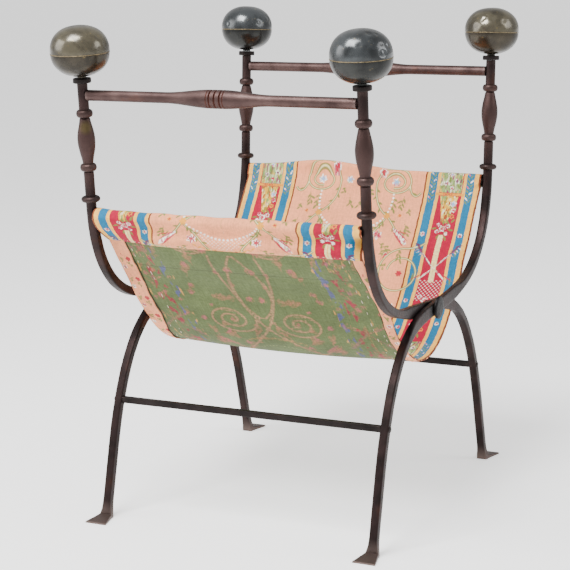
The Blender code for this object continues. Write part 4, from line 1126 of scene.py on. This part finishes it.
def cloth_piece(name, points, across, along, face_out):
    """A sheet with real thickness from a grid of points. Its face has every point and its
    back every second one, joined round the rim. face_out gives each point's face normal."""
    rows, cols = points.shape[:2]
    top = points + face_out * (CLOTH_T / 2)
    under = (points - face_out * (CLOTH_T / 2))[::2, ::2]
    ids = np.arange(rows * cols).reshape(rows, cols)
    low = rows * cols + np.arange(under.shape[0] * under.shape[1]).reshape(under.shape[:2])
    face = np.stack([ids[:-1, :-1], ids[:-1, 1:], ids[1:, 1:], ids[1:, :-1]], -1).reshape(-1, 4).tolist()
    back = np.stack([low[:-1, :-1], low[1:, :-1], low[1:, 1:], low[:-1, 1:]], -1).reshape(-1, 4).tolist()
    rim = []
    for fine, coarse in zip(*(
        (grid[0].tolist(), grid[:, -1].tolist(), grid[-1, ::-1].tolist(), grid[::-1, 0].tolist())
        for grid in (ids, low)
    )):
        for k in range(len(coarse) - 1):
            a, b, c = fine[2 * k : 2 * k + 3]
            d, e = coarse[k : k + 2]
            rim += [[b, a, d], [b, d, e], [c, b, e]]
    mesh = bpy.data.meshes.new(name)
    mesh.from_pydata(np.vstack([top.reshape(-1, 3), under.reshape(-1, 3)]).tolist(), [], face + back + rim)
    mesh.materials.append(CLOTH_FACE)
    mesh.materials.append(CLOTH_BACK)
    kind = np.r_[np.zeros(len(face), int), np.ones(len(back), int), np.zeros(len(rim), int)]
    mesh.polygons.foreach_set("material_index", kind)
    mesh.polygons.foreach_set("use_smooth", np.ones(len(kind), bool))
    flat = [np.r_[a.ravel(), a[::2, ::2].ravel()] * 1000 for a in (across, along)]
    for part, values in {"across": flat[0], "along": flat[1], **brocade(*flat)}.items():
        mesh.attributes.new(part, "FLOAT", "POINT").data.foreach_set("value", values.astype(np.float32))
    mesh.update()
    made = stand(name, mesh)
    return made


def facing(points, axis, sign):
    """Unit normals of a grid of points, turned so that the middle one looks along an axis."""
    normal = np.cross(np.gradient(points, axis=1), np.gradient(points, axis=0))
    normal = normal / np.linalg.norm(normal, axis=2)[..., None]
    middle = normal[normal.shape[0] // 2, normal.shape[1] // 2, axis]
    return normal if middle * sign > 0 else -normal


def seat_at(u, run):
    """Points of the seat at shares of its half width and at runs from the back rod's top."""
    back = run < SEAT_LONG / 2
    near = np.where(back, run, SEAT_LONG - run)
    y, z = (np.interp(near, SEAT_RUN, SEAT_LINE[:, k]) for k in (0, 1))
    return np.stack(hang(u, y, z, back), axis=-1)


def hem_at(u, run, back):
    """Points of a hem, from the top of its rod down to its sewn edge. The front one is full.
    The ends lap a little over the posts beside the rod."""
    y, z = (np.interp(run, HEM_RUN, HEM_LINE[:, k]) for k in (0, 1))
    if not back:
        bag = 1 + FRONT_HEM_BAG * ease(LEFT_END, -1.0, u)
        y = y + FRONT_HEM_FULL * np.sin(pi * run / HEM_LONG) * bag
    lap = by_rod(LAP_TOP, z) * by_rod(LAP_FOOT, z)
    wide = 1 + HEM_LAP / SLING_HALF * near_end(u, back) * lap
    return np.stack(hang(u * wide, y, z, np.full(u.shape, back)), axis=-1)


# Rows lie closer where the figure is seen most, on the back half
FINE_TO, FINE_ROWS, PLAIN_ROWS, SEAT_COLS = 0.27, 165, 187, 215
HEM_ROWS, HEM_COLS, SIDE_ROWS, SIDE_COLS = 59, 331, 191, 13
seat_rows = np.r_[np.linspace(0, FINE_TO, FINE_ROWS)[:-1], np.linspace(FINE_TO, SEAT_LONG, PLAIN_ROWS)]
u_grid, run_grid = np.meshgrid(np.linspace(-1, 1, SEAT_COLS), seat_rows)
points = seat_at(u_grid, run_grid)
sling = cloth_piece("brocade_sling", points, u_grid * SLING_HALF, run_grid, facing(points, 2, 1))
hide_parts("seat_sling")

sling_trim = []
for half, back in (("back", True), ("front", False)):
    u_grid, run_grid = np.meshgrid(np.linspace(-1, 1, HEM_COLS), np.linspace(0, HEM_LONG, HEM_ROWS))
    points = hem_at(u_grid, run_grid, back)
    along = -run_grid if back else SEAT_LONG + run_grid
    face = facing(points, 1, 1 if back else -1)
    sling_trim.append(cloth_piece(half + "_sling_hem", points, u_grid * SLING_HALF, along, face))

# The turned sides: a strip of the face on the outside, from one hem's edge to the other
SIDE_STARTS, RAGGED_D, RAGGED_FINE, RAGGED_SLOW = 0.83, 0.0005, 170, 61
SIDE_FLAT, SIDE_ROUND, SIDE_LOOSE = 0.75, 0.5, 0.0011
hem_ends = HEM_LONG * SIDE_STARTS
for hand, s in (("right", 1.0), ("left", -1.0)):
    runs = np.linspace(hem_ends, SEAT_LONG - hem_ends, SIDE_ROWS)
    fold_grid, run_grid = np.meshgrid(np.linspace(0, 1, SIDE_COLS), runs)
    deep = side_hem(s, run_grid)
    surface = seat_at(s * (1.0 - fold_grid * deep / SLING_HALF), run_grid)
    outward = facing(surface, 2, -1)
    ragged = RAGGED_D * np.sin(run_grid * RAGGED_FINE) + RAGGED_D * np.sin(run_grid * RAGGED_SLOW + s)
    proud = CLOTH_T * (SIDE_FLAT + SIDE_ROUND * np.sin(fold_grid * pi))
    proud = proud + SIDE_LOOSE * fold_grid**3 + ragged * fold_grid
    points = surface + outward * proud[..., None]
    across = s * (SLING_HALF + fold_grid * deep)
    sling_trim.append(cloth_piece(hand + "_side_hem", points, across, run_grid, outward))


# Sewing: running stitches of pale linen thread, taken by hand through the turned sides
# and along the hems' edges. They are uneven, and some have gone.
THREAD_R, SHORTEST, LONGEST, WAX_MARK = 0.0006, 0.6, 1.15, (0.004, 3.0)


def stitch_tree():
    """One thread stitch set down at even steps along a line of sewing."""
    tree = bpy.data.node_groups.new("running stitch", "GeometryNodeTree")
    add = partial(add_node, tree)
    for kind, labels in (
        ("Geometry", ("Line",)), ("Float", ("Step", "Stitch length", "Thread radius", "Kept share")),
        ("Int", ("Seed",)), ("Material", ("Thread",)),
    ):
        for label in labels:
            tree.interface.new_socket(label, in_out="INPUT", socket_type="NodeSocket" + kind)
    tree.interface.new_socket("Sewing", in_out="OUTPUT", socket_type="NodeSocketGeometry")
    given = add("NodeGroupInput", out=None).outputs
    line = add("GeometryNodeMeshToCurve", {"Mesh": given["Line"]})
    steps = {"Curve": line, "Length": given["Step"]}
    steps = add("GeometryNodeResampleCurve", steps, mode="LENGTH")
    way = add("GeometryNodeInputTangent")
    turn = add("FunctionNodeAlignRotationToVector", {"Vector": way}, axis="Z")
    thread = add("GeometryNodeMeshIcoSphere", {"Radius": 1.0, "Subdivisions": 2})
    half = add(MATH, (given["Stitch length"], 0.5), operation="MULTIPLY")
    size = add("ShaderNodeCombineXYZ", (given["Thread radius"], given["Thread radius"], half))
    uneven = {"Seed": given["Seed"], 2: SHORTEST, 3: LONGEST}
    uneven = add("FunctionNodeRandomValue", uneven, 1, data_type="FLOAT")
    sized = add("ShaderNodeVectorMath", {0: size, "Scale": uneven}, operation="SCALE")
    kept = {"Seed": given["Seed"], "Probability": given["Kept share"]}
    kept = add("FunctionNodeRandomValue", kept, 3, data_type="BOOLEAN")
    placed = {"Points": steps, "Selection": kept, "Instance": thread, "Rotation": turn, "Scale": sized}
    placed = add("GeometryNodeInstanceOnPoints", placed)
    real = add("GeometryNodeRealizeInstances", (placed,))
    finished = {"Geometry": real, "Material": given["Thread"]}
    finished = add("GeometryNodeSetMaterial", finished)
    add("NodeGroupOutput", (finished,), None)
    return tree


def linen_thread():
    """Waxed linen, twisted: off-white and matt, greyed unevenly over 4 mm."""
    made, add, shader, _, grey = mottled("linen thread", WAX_MARK)
    colour = lay(add, "#E4DBC2", (grey, 0.0, 1.0, 1.0, "#A99E82"))
    wire(shader, {"Base Color": colour, "Roughness": 0.8})
    return made


RUNNING_STITCH, LINEN = stitch_tree(), linen_thread()


def sew(name, lines, step, length, kept, seed):
    """Runs stitches along lines of points and turns the result into a plain mesh."""
    mesh = bpy.data.meshes.new(name + "_line")
    verts, edges = [], []
    for line in lines:
        start = len(verts)
        verts += line.tolist()
        edges += [(k, k + 1) for k in range(start, len(verts) - 1)]
    mesh.from_pydata(verts, edges, [])
    guide = stand(name + "_line", mesh)
    work = guide.modifiers.new("sewing", "NODES")
    work.node_group = RUNNING_STITCH
    values = {
        "Step": step, "Stitch length": length, "Thread radius": THREAD_R, "Kept share": kept, "Seed": seed,
        "Thread": LINEN,
    }
    for item in RUNNING_STITCH.interface.items_tree:
        if item.in_out == "INPUT" and item.name in values:
            work[item.identifier] = values[item.name]
    ready = guide.evaluated_get(bpy.context.evaluated_depsgraph_get())
    sewn = bpy.data.meshes.new_from_object(ready)
    bpy.data.objects.remove(guide, do_unlink=True)
    sewn.polygons.foreach_set("use_smooth", np.ones(len(sewn.polygons), bool))
    made = stand(name, sewn)
    return made


SIDE_SEAMS, SIDE_SEAM_ENDS, SIDE_THREAD_UP, BESIDE = (0.0080, 0.0230), 0.008, 0.0003, (0.0, 0.002)
HEM_SEAM, HEM_SEAM_ENDS, HEM_THREAD_UP, SEAM_STEPS = (0.0042, 0.0032), 0.97, 0.0001, 160
side_lines, hem_lines = [], []
for s in (1.0, -1.0):
    for inset in SIDE_SEAMS:
        start = hem_ends + SIDE_SEAM_ENDS
        runs = np.linspace(start, SEAT_LONG - hem_ends - SIDE_SEAM_ENDS, SEAM_STEPS)
        step_grid, run_grid = np.meshgrid(np.array(BESIDE), runs)
        u_grid = s * (1 - (inset + side_hem(s, run_grid)) / SLING_HALF) + step_grid
        points = seat_at(u_grid, run_grid)
        side_lines.append((points + facing(points, 2, -1) * (CLOTH_T / 2 + SIDE_THREAD_UP))[:, 0])
for back in (True, False):
    shares = np.linspace(-HEM_SEAM_ENDS, HEM_SEAM_ENDS, SEAM_STEPS)
    u_grid, run_grid = np.meshgrid(shares, HEM_LONG - np.array(HEM_SEAM))
    points = hem_at(u_grid, run_grid, back)
    hem_lines.append((points + facing(points, 1, 1 if back else -1) * (CLOTH_T / 2 + HEM_THREAD_UP))[0])
sling_trim.append(sew("side_stitches", side_lines, step=0.0140, length=0.0090, kept=0.40, seed=7))
sling_trim.append(sew("hem_stitches", hem_lines, step=0.0090, length=0.0036, kept=0.80, seed=9))

for cloth in [sling] + sling_trim:
    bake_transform(cloth)


# Room: a pale floor that runs back without a horizon, a large soft lamp above and in
# front, weaker ones from the left and right, and a camera where the photographer stood.
FLOOR_SIZE, FLOOR_GLOW, SKY_LIGHT, LAMPS_AIM = 60.0, 0.85, 0.60, Vector((0.0, 0.0, 0.45))


def plain_floor():
    """Matt white paper, lit a little from within so that it stays pale under the seat."""
    made, _, shader = start_material("studio floor")
    wire(shader, {"Base Color": "#F4F4F4", "Roughness": 0.9})
    wire(shader, {"Emission Color": "#FFFFFF", "Emission Strength": FLOOR_GLOW})
    return made


bpy.ops.mesh.primitive_plane_add(size=FLOOR_SIZE)
floor = bpy.context.object
floor.name = "studio_floor"
floor.data.materials.append(plain_floor())
world = bpy.data.worlds.new("studio")
bpy.context.scene.world = world
world.use_nodes = True
sky = world.node_tree.nodes["Background"]
wire(sky, {"Color": "#FFFFFF", "Strength": SKY_LIGHT})
for name, at, size, power in (
    ("above", (-0.4, -1.3, 2.6), 1.2, 125.0),
    ("left", (-2.4, -1.6, 1.6), 1.6, 44.0),
    ("right", (2.3, 0.5, 1.7), 1.2, 24.0),
):
    lamp = bpy.data.lights.new(name, "AREA")
    lamp.size = size
    lamp.energy = power
    shining = stand(name, lamp)
    shining.location = at
    shining.rotation_euler = (LAMPS_AIM - Vector(at)).to_track_quat("-Z", "Y").to_euler()

LENS, SENSOR, EYE = 111.03, 36.0, (1.217581, -2.615087, 0.950366)
YAW, PITCH, ROLL = 0.444801, -0.204113, -0.016531
ahead = Vector((-sin(YAW) * cos(PITCH), cos(YAW) * cos(PITCH), sin(PITCH)))
level = Vector((cos(YAW), sin(YAW), 0.0))
upward = level.cross(ahead)
right = level * cos(ROLL) + upward * sin(ROLL)
above = upward * cos(ROLL) - level * sin(ROLL)
lens = bpy.data.cameras.new("camera")
lens.sensor_width = SENSOR
lens.lens = LENS
camera = stand("camera", lens)
camera.matrix_world = Matrix.Translation(EYE) @ Matrix((right, above, -ahead)).transposed().to_4x4()
bpy.context.scene.camera = camera

bpy.context.view_layer.update()
